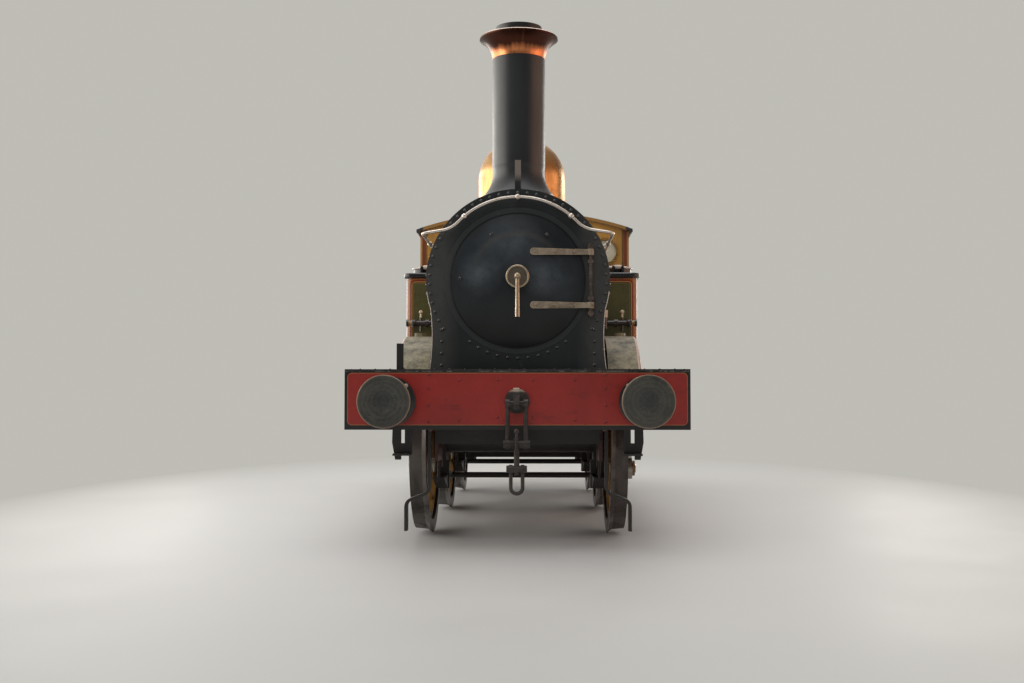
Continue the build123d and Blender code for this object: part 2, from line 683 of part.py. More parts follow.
def build_boiler():
    """Lagged barrel with its bands, round-topped firebox with the firehole, and the ashpan."""
    shell = barrel(BOILER_RADIUS, SMOKEBOX_BACK, FIREBOX_FRONT, BOILER_HEIGHT)
    half_band = BAND_WIDTH / 2
    for place in (SMOKEBOX_BACK + half_band, *BAND_PLACES, FIREBOX_FRONT - half_band):
        shell += barrel(BOILER_RADIUS + BAND_THICK, place - half_band, place + half_band, BOILER_HEIGHT)
    save("boiler_barrel", shell)

    radius = BOILER_RADIUS
    half = FIREBOX_HALF_WIDTH
    centre = above(BOILER_HEIGHT)
    shoulder = centre - FIREBOX_SHOULDER
    waist = above(BEAM_TOP) - 10
    floor = above(FIREBOX_BOTTOM)
    corners = [
        (radius, centre), (radius, shoulder), (half, waist), (half, floor),
        (-half, floor), (-half, waist), (-radius, shoulder), (-radius, centre),
    ]
    lines = [*ThreePointArc((-radius, centre), (0, centre + radius), (radius, centre)).edges()]
    for here, following in zip(corners, corners[1:]):
        lines += Line(here, following).edges()
    firebox = cross_plate(FIREBOX_FRONT, BACKHEAD, make_face(lines))
    tunnel = barrel(FIREHOLE_RADIUS, BACKHEAD - 240, BACKHEAD + 5, FIREHOLE_HEIGHT)
    save("firebox", firebox - tunnel)

    front = at(FIREBOX_FRONT + 20)
    back = at(BACKHEAD - 20)
    low = above(ASHPAN_BOTTOM)
    ashpan = make_face(Polyline(
        (front, floor), (back, floor), (back, low + 130), (front + 300, low), (front, low), close=True,
    ).edges())
    save("ashpan", side_plate(-half + 30, half - 30, ashpan))


def build_firehole_door():
    """Round door on the backhead, hung on its left."""
    face_y = at(BACKHEAD) + 8
    z = above(FIREHOLE_HEIGHT)
    disc = barrel(FIREDOOR_RADIUS, BACKHEAD + 8, BACKHEAD + 8 + FIREDOOR_THICK, FIREHOLE_HEIGHT)
    strap = Pos(-90, face_y + FIREDOOR_THICK + 6, z) * Box(250, 12, 50)
    hinge = Pos(FIREDOOR_HINGE_X, face_y + 12, z)
    latch = Pos(150, face_y + FIREDOOR_THICK + 26, z) * Box(24, 52, 24)
    door = disc + strap + hinge * Cylinder(18, 60) + latch
    save("firehole_door", door - hinge * Cylinder(10 + RUNNING, 80))


def build_backhead_fittings():
    """Pipes, valves, gauge glasses and the regulator on the face of the firebox."""
    face = BACKHEAD
    pieces = []
    pin = column(10, FIREDOOR_HINGE_X, face + 20, FIREHOLE_HEIGHT - 70, FIREHOLE_HEIGHT + 70)
    for side in (-1, 1):
        pin += Pos(FIREDOOR_HINGE_X, at(face) + 15, above(FIREHOLE_HEIGHT + side * 55)) * Box(30, 30, 20)
    pieces.append(pin)
    valve = BOILER_HEIGHT + 250
    regulator = barrel(60, face, face + 40, valve) + barrel(16, face + 30, face + 110, valve)
    regulator += Pos(-120, at(face + 100), above(valve - 30)) * Rot(0, -14, 0) * Box(330, 16, 30)
    pieces.append(regulator)
    for x in (-330, 330):
        gauge = column(9, x, face + 60, valve - 370, valve - 90)
        for height in (valve - 350, valve - 110):
            gauge += barrel(16, face, face + 72, height, x)
        pieces.append(gauge)
    for x in (-150, 150):
        dial = barrel(70, face + 40, face + 75, valve + 230, x)
        stem = column(9, x, face + 50, valve + 70, valve + 170)
        pieces.append(dial + stem + barrel(12, face, face + 50, valve + 85, x))
    save("backhead_fittings", *pieces)


def build_cab_controls():
    """Reversing lever in its quadrant on the right, and the hand brake's column on the left."""
    x = FIREBOX_HALF_WIDTH + 60
    place = BACKHEAD + 75
    quadrant = block(x - 8, x + 8, place - 45, place + 55, PLATE_TOP, PLATE_TOP + 420)
    lever = block(x + 10, x + 22, place - 14, place + 14, PLATE_TOP + 120, PLATE_TOP + 800)
    pivot = crosswise(16, x - 20, x + 30, place, PLATE_TOP + 140)
    grip = column(17, x + 16, place, PLATE_TOP + 760, PLATE_TOP + 900)
    pillar = column(26, -x, place, PLATE_TOP, PLATE_TOP + 40)
    pillar += column(17, -x, place, PLATE_TOP + 30, PLATE_TOP + 860)
    bar = crosswise(11, -x - 75, -x + 75, place, PLATE_TOP + 850)
    save("cab_controls", quadrant + lever + pivot + grip, pillar + bar)


def crown_arcs(radius, rise, edge_radius, base):
    """Two tangent arcs from an upright side over to the axis: a rounded edge, then a ball top."""
    edge_x = radius - edge_radius
    ball = (edge_x**2 + rise**2 - edge_radius**2) / (2 * (rise - edge_radius))
    drop = ball - rise
    turn = atan2(drop, edge_x)
    meet = (ball * cos(turn), 0, base - drop + ball * sin(turn))
    half_turn = turn / 2
    edge_middle = (edge_x + edge_radius * cos(half_turn), 0, base + edge_radius * sin(half_turn))
    top_turn = (turn + pi / 2) / 2
    ball_middle = (ball * cos(top_turn), 0, base - drop + ball * sin(top_turn))
    edge = ThreePointArc((radius, 0, base), edge_middle, meet)
    top = ThreePointArc(meet, ball_middle, (0, 0, base + rise))
    return [*edge.edges(), *top.edges()]


def build_dome():
    """Tall polished dome, flared where it seats on the barrel."""
    base = BOILER_HEIGHT + BOILER_RADIUS
    radius = DOME_RADIUS
    flange = radius + DOME_FLARE
    low = BOILER_HEIGHT + 380
    side = ThreePointArc(
        (flange, 0, above(base - 105)), (radius + 14, 0, above(base - 20)), (radius, 0, above(base + 110))
    )
    crown = crown_arcs(radius, DOME_TOP - DOME_SHOULDER, DOME_EDGE_RADIUS, above(DOME_SHOULDER))
    lines = [
        *side.edges(),
        *Line((radius, 0, above(base + 110)), (radius, 0, above(DOME_SHOULDER))).edges(),
        *crown,
        *Line((0, 0, above(DOME_TOP)), (0, 0, above(low))).edges(),
        *Line((0, 0, above(low)), (flange, 0, above(low))).edges(),
        *Line((flange, 0, above(low)), (flange, 0, above(base - 105))).edges(),
    ]
    dome = Pos(0, at(DOME_PLACE), 0) * revolve(make_face(lines), Axis.Z)
    seat = barrel(BOILER_RADIUS + SEAT, DOME_PLACE - 700, DOME_PLACE + 700, BOILER_HEIGHT)
    save("dome", dome - seat)


def build_safety_valves():
    """Two spring-loaded valves on one base, and the whistle beside them."""
    top = BOILER_HEIGHT + BOILER_RADIUS
    seat = barrel(BOILER_RADIUS + SEAT, VALVE_PLACE - 400, VALVE_PLACE + 400, BOILER_HEIGHT)
    towers = column(150, 0, VALVE_PLACE, top - 60, top + 60) - seat
    tower = [
        (0, top + 60), (46, top + 60), (38, top + 90), (38, top + 280),
        (52, top + 300), (52, top + 330), (0, top + 330),
    ]
    for place in (VALVE_PLACE - 80, VALVE_PLACE + 80):
        towers += spun(tower, 0, place)
    towers += block(-14, 14, VALVE_PLACE - 170, VALVE_PLACE + 170, top + 330, top + 350)
    bell = [(0, top + 20), (20, top + 20), (34, top + 40), (34, top + 190), (12, top + 215), (0, top + 215)]
    whistle = column(30, 300, VALVE_PLACE + 120, top - 200, top + 20) - seat
    whistle += spun(bell, 300, VALVE_PLACE + 120)
    save("safety_valves", towers, whistle)


def build_tanks():
    """Side tank with a round front corner, a bullnosed cornice and a filler with its hinged lid."""
    arch = COVER_RADIUS + 10
    place = AXLE_PLACES["driving"]
    body = block(TANK_INSIDE, TANK_HALF_WIDTH, TANK_FRONT, CAB_FRONT, PLATE_TOP, TANK_TOP)
    body = fillet(body.edges().filter_by(Axis.Z).group_by(Axis.Y)[0].sort_by(Axis.X)[-1:], TANK_CORNER)
    body -= crosswise(arch, TANK_INSIDE - 5, COVER_OUTSIDE + 18, place, WHEEL_RADIUS)
    top = TANK_TOP + CORNICE_THICK
    reach = CORNICE_REACH
    ledge = block(TANK_INSIDE - 8, TANK_HALF_WIDTH + reach, TANK_FRONT - reach, CAB_FRONT, TANK_TOP, top)
    ledge = fillet(ledge.edges().filter_by(Axis.Z).group_by(Axis.Y)[0].sort_by(Axis.X)[-1:], TANK_CORNER + 20)
    outer = [
        edge for edge in ledge.edges()
        if abs((edge @ 0.5).Z - above(TANK_TOP + CORNICE_THICK / 2)) > 1
        and ((edge @ 0.5).X > TANK_HALF_WIDTH or (edge @ 0.5).Y < at(TANK_FRONT))
    ]
    ledge = fillet(outer, CORNICE_ROUND)
    body += ledge
    x = FILLER_X
    neck_radius = FILLER_RADIUS - FILLER_WALL
    neck = column(FILLER_RADIUS, x, FILLER_PLACE, top, top + FILLER_HEIGHT)
    neck -= column(neck_radius, x, FILLER_PLACE, top - 200, top + FILLER_HEIGHT + 5)
    body -= column(neck_radius, x, FILLER_PLACE, top - 200, top + 5)
    hinge_y = at(FILLER_PLACE) - FILLER_RADIUS - 26
    hinge_z = above(top + FILLER_HEIGHT + 8)
    hinge = Pos(x, hinge_y, hinge_z)
    for side in (-1, 1):
        neck += Pos(x + side * 42, hinge_y - 4, hinge_z - 19) * Box(20, 24, 60)
        neck += Pos(x + side * 42, hinge_y + 16, hinge_z - 34) * Box(20, 60, 30)
    body = body + neck + hinge * Rot(0, 90, 0) * Cylinder(9, 104)
    save("tank_right", body)
    save("tank_left", left(body))

    low = top + FILLER_HEIGHT
    reach = FILLER_RADIUS + 12
    section = [(0, low + 1), (reach, low + 1), (reach, low + 12), (60, low + 34), (0, low + 38)]
    lid = spun(section, x, FILLER_PLACE)
    lid += Pos(x, hinge_y + 40, hinge_z + 4) * Box(46, 80, 16)
    lid += hinge * Rot(0, 90, 0) * Cylinder(20, 50)
    lid += Pos(x, at(FILLER_PLACE) + FILLER_RADIUS + 24, above(low + 9)) * Box(30, 60, 14)
    lid -= hinge * Rot(0, 90, 0) * Cylinder(9 + RUNNING, 70)
    save("filler_lid_right", lid)
    save("filler_lid_left", left(lid))


def roof_radius():
    rise = ROOF_CROWN - EAVES_HEIGHT
    return (ROOF_HALF_WIDTH**2 + rise**2) / (2 * rise)


def roof_height(x, below=0.0):
    """Height of the roof's outer face, or of a face that lies below it."""
    radius = roof_radius()
    return ROOF_CROWN - radius + sqrt((radius - below) ** 2 - x**2)


def end_wall(bottom, half):
    """Cross section of the cab under the roof, drawn in (X, Z)."""
    low = ROOF_THICK
    foot = above(bottom)
    eaves = above(roof_height(half, low))
    return make_face([
        *Line((-half, foot), (half, foot)).edges(),
        *Line((half, foot), (half, eaves)).edges(),
        *ThreePointArc((half, eaves), (0, above(roof_height(0, low))), (-half, eaves)).edges(),
        *Line((-half, eaves), (-half, foot)).edges(),
    ])


def roof_section():
    """The arched roof with a hollow moulding below each eave, drawn in (X, Z)."""
    near = CAB_HALF_WIDTH
    far = ROOF_HALF_WIDTH
    top = above(EAVES_HEIGHT)
    edge = top - ROOF_THICK
    low = edge - EAVES_COVE
    under = above(roof_height(near, ROOF_THICK))
    bowed = (near + 0.38 * (far - near), edge - 0.38 * EAVES_COVE)
    return make_face([
        *ThreePointArc((-far, top), (0, above(ROOF_CROWN)), (far, top)).edges(),
        *Line((far, top), (far, edge)).edges(),
        *ThreePointArc((far, edge), bowed, (near, low)).edges(),
        *Line((near, low), (near, under)).edges(),
        *ThreePointArc((near, under), (0, above(ROOF_CROWN - ROOF_THICK)), (-near, under)).edges(),
        *Line((-near, under), (-near, low)).edges(),
        *ThreePointArc((-near, low), (-bowed[0], bowed[1]), (-far, edge)).edges(),
        *Line((-far, edge), (-far, top)).edges(),
    ])


def build_cab():
    """Cab: ends with round windows, sides with a doorway and a window, and the arched roof."""
    inside = CAB_HALF_WIDTH - CAB_WALL
    front = end_wall(PLATE_TOP, inside)
    around = BOILER_RADIUS + 2
    front -= Pos(0, above(BOILER_HEIGHT)) * Circle(around)
    front -= Pos(0, above((PLATE_TOP + BOILER_HEIGHT) / 2)) * Rectangle(2 * around, BOILER_HEIGHT - PLATE_TOP)
    rear = end_wall(PLATE_TOP, inside)
    for side in (-1, 1):
        window = Pos(side * WINDOW_X, above(WINDOW_HEIGHT)) * Circle(WINDOW_RADIUS)
        front -= window
        rear -= window
    save("cab_front", cross_plate(CAB_FRONT, CAB_FRONT + CAB_WALL, front))
    save("cab_back", cross_plate(CAB_BACK - CAB_WALL, CAB_BACK, rear))

    eaves = above(roof_height(CAB_HALF_WIDTH, ROOF_THICK))
    length = CAB_BACK - CAB_FRONT
    sheet = Rectangle(length, eaves - above(PLATE_TOP), align=(Align.MIN, Align.MIN))
    sheet = Pos(at(CAB_FRONT), above(PLATE_TOP)) * sheet
    opening = RectangleRounded(length - 2 * CAB_POST, SIDE_WINDOW_TOP - TANK_TOP, SIDE_WINDOW_CORNER)
    sheet -= Pos(at((CAB_FRONT + CAB_BACK) / 2), above((TANK_TOP + SIDE_WINDOW_TOP) / 2)) * opening
    standing = (Align.CENTER, Align.MIN)
    doorway = Rectangle(DOORWAY_BACK - DOORWAY_FRONT, TANK_TOP + 200 - PLATE_TOP, align=standing)
    sheet -= Pos(at((DOORWAY_FRONT + DOORWAY_BACK) / 2), above(PLATE_TOP + 8)) * doorway
    side = side_plate(inside, CAB_HALF_WIDTH, sheet)
    save("cab_side_right", side)
    save("cab_side_left", left(side))

    save("cab_roof", cross_plate(CAB_FRONT - ROOF_FRONT_REACH, CAB_BACK + ROOF_BACK_REACH, roof_section()))

    panes = []
    rims = []
    for face, outward in ((CAB_FRONT, -1), (CAB_BACK, 1)):
        inner = face if outward < 0 else face - CAB_WALL
        start = face + outward * 14
        for x in (-WINDOW_X, WINDOW_X):
            panes.append(barrel(WINDOW_RADIUS - SEAT, inner + 6, inner + 14, WINDOW_HEIGHT, x))
            rim = barrel(WINDOW_RADIUS + 16, start, face, WINDOW_HEIGHT, x)
            rims.append(rim - barrel(WINDOW_RADIUS - 8, start - 20, face + 20, WINDOW_HEIGHT, x))
    save("window_panes", *panes)
    save("window_rims", *rims)


def build_cab_handrails():
    """Upright rails on both sides of each doorway, each on two stand-offs."""
    x = CAB_HALF_WIDTH + DOORWAY_RAIL_STAND_OFF
    low = PLATE_TOP + 130
    high = TANK_TOP - 60
    rails = []
    for place in (DOORWAY_FRONT - DOORWAY_RAIL_GAP, DOORWAY_BACK + DOORWAY_RAIL_GAP):
        rail = column(DOORWAY_RAIL_RADIUS, x, place, low, high)
        for height in (low, high):
            rail += crosswise(DOORWAY_RAIL_RADIUS - 3, CAB_HALF_WIDTH, x, place, height)
            rail += Pos(x, at(place), above(height)) * Sphere(DOORWAY_RAIL_RADIUS + 8)
        rails += pair(rail)
    save("cab_handrails", *rails)


def build_bunker():
    """Open coal bunker on the cab's back."""
    outer = block(-CAB_HALF_WIDTH, CAB_HALF_WIDTH, CAB_BACK, BUNKER_BACK, PLATE_TOP, BUNKER_TOP)
    outer = fillet(outer.edges().filter_by(Axis.Z).group_by(Axis.Y)[-1], BUNKER_CORNER)
    wall = BUNKER_WALL
    half = CAB_HALF_WIDTH - wall
    space = block(-half, half, CAB_BACK + wall, BUNKER_BACK - wall, BUNKER_FLOOR, BUNKER_TOP + 5)
    save("coal_bunker", outer - space)


def splasher(place, radius):
    """Cover over the right wheel at a place, standing on the running plate."""
    cover = crosswise(radius, SPLASHER_INSIDE, SPLASHER_OUTSIDE, place, WHEEL_RADIUS)
    cover &= block(0, SPLASHER_OUTSIDE + 10, place - radius, place + radius, PLATE_TOP, WHEEL_RADIUS + radius)
    return cover


def build_splashers():
    """Covers of the leading wheels with their sand fillers, and those inside the cab."""
    front = AXLE_PLACES["leading"]
    rear = AXLE_PLACES["trailing"]
    cover = splasher(front, SPLASHER_RADIUS)
    shoulder = [
        edge for edge in cover.edges()
        if abs((edge @ 0.5).X - SPLASHER_OUTSIDE) < 1 and (edge @ 0.5).Z > above(PLATE_TOP) + 50
    ]
    cover = fillet(shoulder, SPLASHER_ROUND)
    cover -= crosswise(COVER_RADIUS, COVER_INSIDE, SPLASHER_OUTSIDE - SPLASHER_WALL, front, WHEEL_RADIUS)
    middle = (SPLASHER_INSIDE + SPLASHER_OUTSIDE) / 2
    cover += column(45, middle, front, PLATE_TOP + 230, WHEEL_RADIUS + SPLASHER_RADIUS + 26)
    save("front_splashers", *pair(cover))

    inner = splasher(rear, CAB_SPLASHER_RADIUS)
    inner -= crosswise(COVER_RADIUS, COVER_INSIDE, SPLASHER_OUTSIDE - SPLASHER_WALL, rear, WHEEL_RADIUS)
    save("cab_splashers", *pair(inner))


def handrail_path():
    """Right half of the rail, from the crown over the door back to the cab."""
    front = at(SMOKEBOX_FRONT) - RAIL_STAND_OFF
    centre = above(BOILER_HEIGHT)
    angle = radians(RAIL_ARC_ANGLE)
    low_angle = radians(9.0)
    sweep_radius = RAIL_ARC_RADIUS / 3 + 1
    start = (0, front, centre + RAIL_ARC_RADIUS)
    half_way = (RAIL_ARC_RADIUS * sin(angle / 2), front, centre + RAIL_ARC_RADIUS * cos(angle / 2))
    end = (RAIL_ARC_RADIUS * sin(angle), front, centre + RAIL_ARC_RADIUS * cos(angle))
    arc = ThreePointArc(start, half_way, end)
    bend_points = []
    for turn in ((angle + low_angle) / 2, low_angle):
        x = end[0] + sweep_radius * (sin(angle) - sin(turn))
        z = end[2] - sweep_radius * (cos(turn) - cos(angle))
        bend_points.append((x, front, z))
    bend = ThreePointArc(end, *bend_points)
    low = bend_points[1]
    corner = (RAIL_X, front, low[2] - (RAIL_X - low[0]) * sin(low_angle) / cos(low_angle))
    run = FilletPolyline(low, corner, (RAIL_X, at(CAB_FRONT) - SEAT, corner[2]), radius=36)
    return arc, bend, run


def rail_tube(radius):
    """The whole rail, or the room for it, as one solid."""
    tube = None
    for line in handrail_path():
        for edge in line.edges():
            start = Plane(origin=edge @ 0, z_dir=edge % 0)
            stretch = sweep(start * Circle(radius), path=edge)
            tube = stretch if tube is None else tube + stretch
    return tube + left(tube)


def build_handrails():
    """Polished rail over the door and along the boiler, held in ball-ended pillars."""
    run_height = (handrail_path()[2] @ 1).Z
    rise = run_height - above(BOILER_HEIGHT)
    reach = hypot(RAIL_X, rise)
    turn = degrees(atan2(rise, RAIL_X))
    pillars = []
    for place in PILLAR_PLACES:
        skin = SMOKEBOX_RADIUS if place < SMOKEBOX_BACK else BOILER_RADIUS
        length = reach - skin - SEAT - RAIL_TUBE
        middle = skin + SEAT + length / 2
        post = Pos(middle * cos(radians(turn)), at(place), above(BOILER_HEIGHT) + middle * sin(radians(turn)))
        pillar = post * Rot(0, 90 - turn, 0) * Cylinder(PILLAR_RADIUS, length)
        pillar += Pos(RAIL_X, at(place), run_height) * Sphere(KNOB_RADIUS)
        bore = barrel(RAIL_TUBE + SEAT, place - 60, place + 60, run_height - FLANGE_DEPTH, RAIL_X)
        pillars += pair(pillar - bore)
    room = rail_tube(RAIL_TUBE + SEAT)
    length = RAIL_STAND_OFF - SEAT
    for turn in KNOB_ANGLES:
        x = RAIL_ARC_RADIUS * cos(radians(turn))
        z = above(BOILER_HEIGHT) + RAIL_ARC_RADIUS * sin(radians(turn))
        middle = at(SMOKEBOX_FRONT) - SEAT - length / 2
        post = Pos(x, middle, z) * Rot(90, 0, 0) * Cylinder(PILLAR_RADIUS, length)
        ball = Pos(x, at(SMOKEBOX_FRONT) - RAIL_STAND_OFF, z) * Sphere(KNOB_RADIUS)
        pillars += solids_of(post + ball - room)
    save("handrails", rail_tube(RAIL_TUBE), *pillars)


def build_lamp_irons():
    """Upright irons that lamps hang on: before the chimney, on the beams and on the bunker."""
    top = BOILER_HEIGHT + SMOKEBOX_RADIUS
    x = BUFFER_SPACING / 2 - 55
    iron = block(-22, 22, SMOKEBOX_FRONT + 20, SMOKEBOX_FRONT + 32, top - 20, top + 215)
    iron -= barrel(SMOKEBOX_RADIUS + SEAT, SMOKEBOX_FRONT, SMOKEBOX_FRONT + 80, BOILER_HEIGHT)
    foot = block(-x - 24, -x + 24, 40, 52, PLATE_TOP, PLATE_TOP + 180)
    foot += block(-x - 24, -x + 24, 52, 110, PLATE_TOP, PLATE_TOP + 12)
    irons = [iron, foot, to_rear(foot), to_rear(left(foot))]
    back = BUNKER_BACK
    shelf = block(-24, 24, back, back + 50, BUNKER_TOP - 130, BUNKER_TOP - 118)
    irons.append(shelf + block(-24, 24, back + 38, back + 50, BUNKER_TOP - 118, BUNKER_TOP + 40))
    save("lamp_irons", *irons)


def build_feed_pipes():
    """Feed pipe of each side: from the tank's front across to the clack on the boiler."""
    pieces = []
    place = FEED_PLACE
    height = FEED_HEIGHT
    for side in (-1, 1):
        x = side * FEED_X
        pipe = crosswise(FEED_RADIUS, side * (BOILER_RADIUS + 25), x, place, height)
        pipe += barrel(FEED_RADIUS, place, TANK_FRONT, height, x)
        pipe += Pos(x, at(place), above(height)) * Sphere(FEED_RADIUS + 10)
        stub_end = x + side * FEED_STUB
        pipe += crosswise(FEED_RADIUS, x, stub_end, place, height)
        pipe += crosswise(FEED_RADIUS + 8, stub_end - side * 24, stub_end, place, height)
        clack = crosswise(44, side * (BOILER_RADIUS - 60), side * (BOILER_RADIUS + 85), place, height)
        clack += column(36, side * (BOILER_RADIUS + 77), place, height - 50, height + 110)
        lever = column(10, x - side * 60, place, height - 70, height + 90)
        lever += Pos(x - side * 60, at(place), above(height + 95)) * Sphere(18)
        collar = crosswise(FEED_RADIUS + 12, x - side * 100, x - side * 130, place, height)
        whole = pipe + clack + lever + collar
        pieces.append(whole - barrel(BOILER_RADIUS + SEAT, place - 200, place + 80, BOILER_HEIGHT))
    save("feed_pipes", *pieces)


def build_cylinders():
    """Both inside cylinders and their steam chest as one casting between the frames."""
    front = SMOKEBOX_FRONT + 80
    back = AXLE_PLACES["leading"] - 130
    low = FRAME_NOSE_BOTTOM - 100
    casting = block(-FRAME_INSIDE, FRAME_INSIDE, front, back, low, BEAM_TOP - 22)
    for x in (-INSIDE_CRANK_X, INSIDE_CRANK_X):
        casting += barrel(205, front - 30, front, low + 230, x)
        casting += barrel(190, back, back + 25, low + 200, x)
    save("cylinder_block", casting)


def build_guard_irons():
    """Flat irons bolted to the frames, swept out before the wheels and down to just above the rails."""
    start = FRAME_OUTSIDE + GUARD_THICK / 2
    foot = WHEEL_BACK + GUARD_REACH
    line = FilletPolyline(
        (start, above(BEAM_TOP - 220)), (start, above(GUARD_BEND)), (foot, above(GUARD_BEND - 65)),
        (foot, above(GUARD_FOOT)), radius=GUARD_BEND_RADIUS,
    )
    save("guard_irons", *pair(cross_plate(*GUARD_PLACES, trace(line, line_width=GUARD_THICK))))


def build_steps():
    """Two treads a side below the doorways, on a hanging plate."""
    x0 = STEP_INSIDE
    x1 = BEAM_WIDTH / 2 - VALANCE_THICK
    sheet = STEP_SHEET
    middle = (DOORWAY_FRONT + DOORWAY_BACK) / 2
    half = STEP_HALF_LENGTH
    hanger = block(x0, x0 + sheet, middle - half + 10, middle + half - 10, STEP_HEIGHTS[0], BEAM_TOP)
    for height in STEP_HEIGHTS:
        hanger += block(x0, x1, middle - half, middle + half, height, height + sheet)
        for side in (-1, 1):
            edge = middle + side * half
            hanger += block(x0, x1 - 40, edge, edge - side * 12, height, height + 120)
    save("cab_steps", *pair(hanger))


def build_front_steps():
    """Stirrup irons below the front beam: two hanging bars with a tread between them."""
    x0 = STIRRUP_INSIDE
    x1 = STIRRUP_OUTSIDE
    front, back = STIRRUP_PLACES
    low = STIRRUP_TREAD
    inner = block(x0, x0 + 50, back - 40, back, low, BEAM_TOP)
    outline = make_face(Polyline(
        (x0 + 78, above(BEAM_TOP)), (x0 + 78, above(low - 33)), (x1 - 22, above(low - 33)),
        (x1, above(low + 90)), (x1 - 14, above(BEAM_TOP)), close=True,
    ).edges())
    outer = cross_plate(back - 40, back, outline)
    tread = block(x0, x1 - 16, front, back, low, low + STEP_SHEET)
    riser = block(x0, x1 - 14, back - 40, back - 26, low, low + 84)
    save("front_steps", *pair(inner + outer + tread + riser))


def build_springs():
    """Axle boxes in their horns, with leaf springs hung below them."""
    both = []
    x0 = FRAME_INSIDE - 30
    x1 = FRAME_OUTSIDE + 30
    half_gap = HORN_GAP / 2 - SEAT
    for place in AXLE_PLACES.values():
        box = block(x0 + 10, x1, place - half_gap, place + half_gap, FRAME_BELLY - 20, HORN_TOP - 20)
        hung = box - crosswise(AXLE_RADIUS + RUNNING, 0, 1000, place, WHEEL_RADIUS)
        for leaf in range(LEAVES):
            reach = SPRING_HALF_LENGTH - leaf * 55
            top = SPRING_TOP - leaf * LEAF_THICK
            hung += block(x0, x1, place - reach, place + reach, top - LEAF_THICK, top)
        low = SPRING_TOP - LEAF_THICK * LEAVES - 14
        hung += block(x0 - 10, x1 + 10, place - 45, place + 45, low, FRAME_BELLY - 20)
        middle = (FRAME_INSIDE + FRAME_OUTSIDE) / 2
        for end in (-1, 1):
            hung += column(12, middle, place + end * (SPRING_HALF_LENGTH - 15), SPRING_TOP - 30, FRAME_BELLY)
        both += pair(hung)
    save("axle_boxes_and_springs", *both)


def build_brakes():
    """Shoe and hanger behind each wheel, and the cross beams that join the hangers."""
    pieces = []
    wheel = WHEEL_RADIUS + BRAKE_GAP
    ring = Circle(wheel + 60) - Circle(wheel)
    wedge = make_face(Polyline((0, 0), (1000, 230), (1000, -300), close=True).edges())
    x = (WHEEL_BACK + WHEEL_FACE) / 2 + 10
    for place in AXLE_PLACES.values():
        hanger = place + wheel + 80
        shoe = Pos(at(place), above(WHEEL_RADIUS)) * (ring & wedge)
        one = side_plate(WHEEL_BACK + 35, WHEEL_FACE - 8, shoe)
        one += block(x - 14, x + 14, hanger - 32, hanger + 32, BRAKE_BEAM_HEIGHT - 40, HORN_TOP + 270)
        one += block(x - 14, x + 14, hanger - 60, hanger, FRAME_BELLY + 40, FRAME_BELLY + 140)
        one += crosswise(26, FRAME_OUTSIDE, x + 14, hanger, HORN_TOP + 240)
        pieces += pair(one)
        pieces.append(crosswise(24, -(x - 14), x - 14, hanger, BRAKE_BEAM_HEIGHT))
    save("brake_gear", *pieces)


def spoked_wheel(pin_angle):
    """Right wheel centre about the origin, its axle along X: hub, spokes, rim, crank and weight."""
    across = Rot(0, 90, 0)
    rim_x0 = WHEEL_BACK + 20
    rim_x1 = WHEEL_FACE - 14
    rim_outer = TREAD_INNER - SEAT
    rim_inner = rim_outer - RIM_THICK
    hub_back = WHEEL_BACK - 12
    wheel = Pos((hub_back + HUB_FACE) / 2, 0, 0) * across * Cylinder(HUB_RADIUS, HUB_FACE - hub_back)
    wheel += side_plate(rim_x0, rim_x1, Circle(rim_outer) - Circle(rim_inner))
    foot = HUB_RADIUS - 30
    end = rim_inner + 10
    spoke = make_face(Polyline((foot, -30), (foot, 30), (end, 22), (end, -22), close=True).edges())
    for number in range(SPOKES):
        turn = 360.0 / SPOKES * (number + 0.5) + pin_angle
        wheel += side_plate(WHEEL_BACK + 38, WHEEL_BACK + 94, Rot(0, 0, turn) * spoke)
    pin_y = CRANK_THROW * cos(radians(pin_angle))
    pin_z = CRANK_THROW * sin(radians(pin_angle))
    web = Rot(0, 0, pin_angle) * Pos(CRANK_THROW / 2, 0) * Rectangle(CRANK_THROW, 150)
    wheel += side_plate(rim_x0, HUB_FACE, web)
    wheel += side_plate(rim_x0, HUB_FACE, Pos(pin_y, pin_z) * Circle(84))
    pin_length = ROD_THICK + 4 * SIDE_PLAY
    wheel += side_plate(HUB_FACE, HUB_FACE + pin_length, Pos(pin_y, pin_z) * Circle(CRANKPIN_RADIUS))
    collar_x = ROD_OUTSIDE + SIDE_PLAY
    wheel += side_plate(collar_x, collar_x + 16, Pos(pin_y, pin_z) * Circle(CRANKPIN_RADIUS + 16))
    weight = Circle(rim_outer - 10) - Circle(rim_outer - 200)
    weight &= make_face(Polyline((0, 0), (-800, 520), (-800, -520), close=True).edges())
    wheel += side_plate(WHEEL_BACK + 34, WHEEL_BACK + 100, Rot(0, 0, pin_angle) * weight)
    return wheel - Pos(WHEEL_BACK, 0, 0) * across * Cylinder(AXLE_SEAT_RADIUS + SEAT, 400)


def plain_axle():
    """Axle along X: journals between the wheels, and a seat through each hub."""
    journals = Rot(0, 90, 0) * Cylinder(AXLE_RADIUS, 2 * (WHEEL_BACK - 12 - SEAT))
    seats = Rot(0, 90, 0) * Cylinder(AXLE_SEAT_RADIUS, 2 * (HUB_FACE + 4))
    return journals + seats


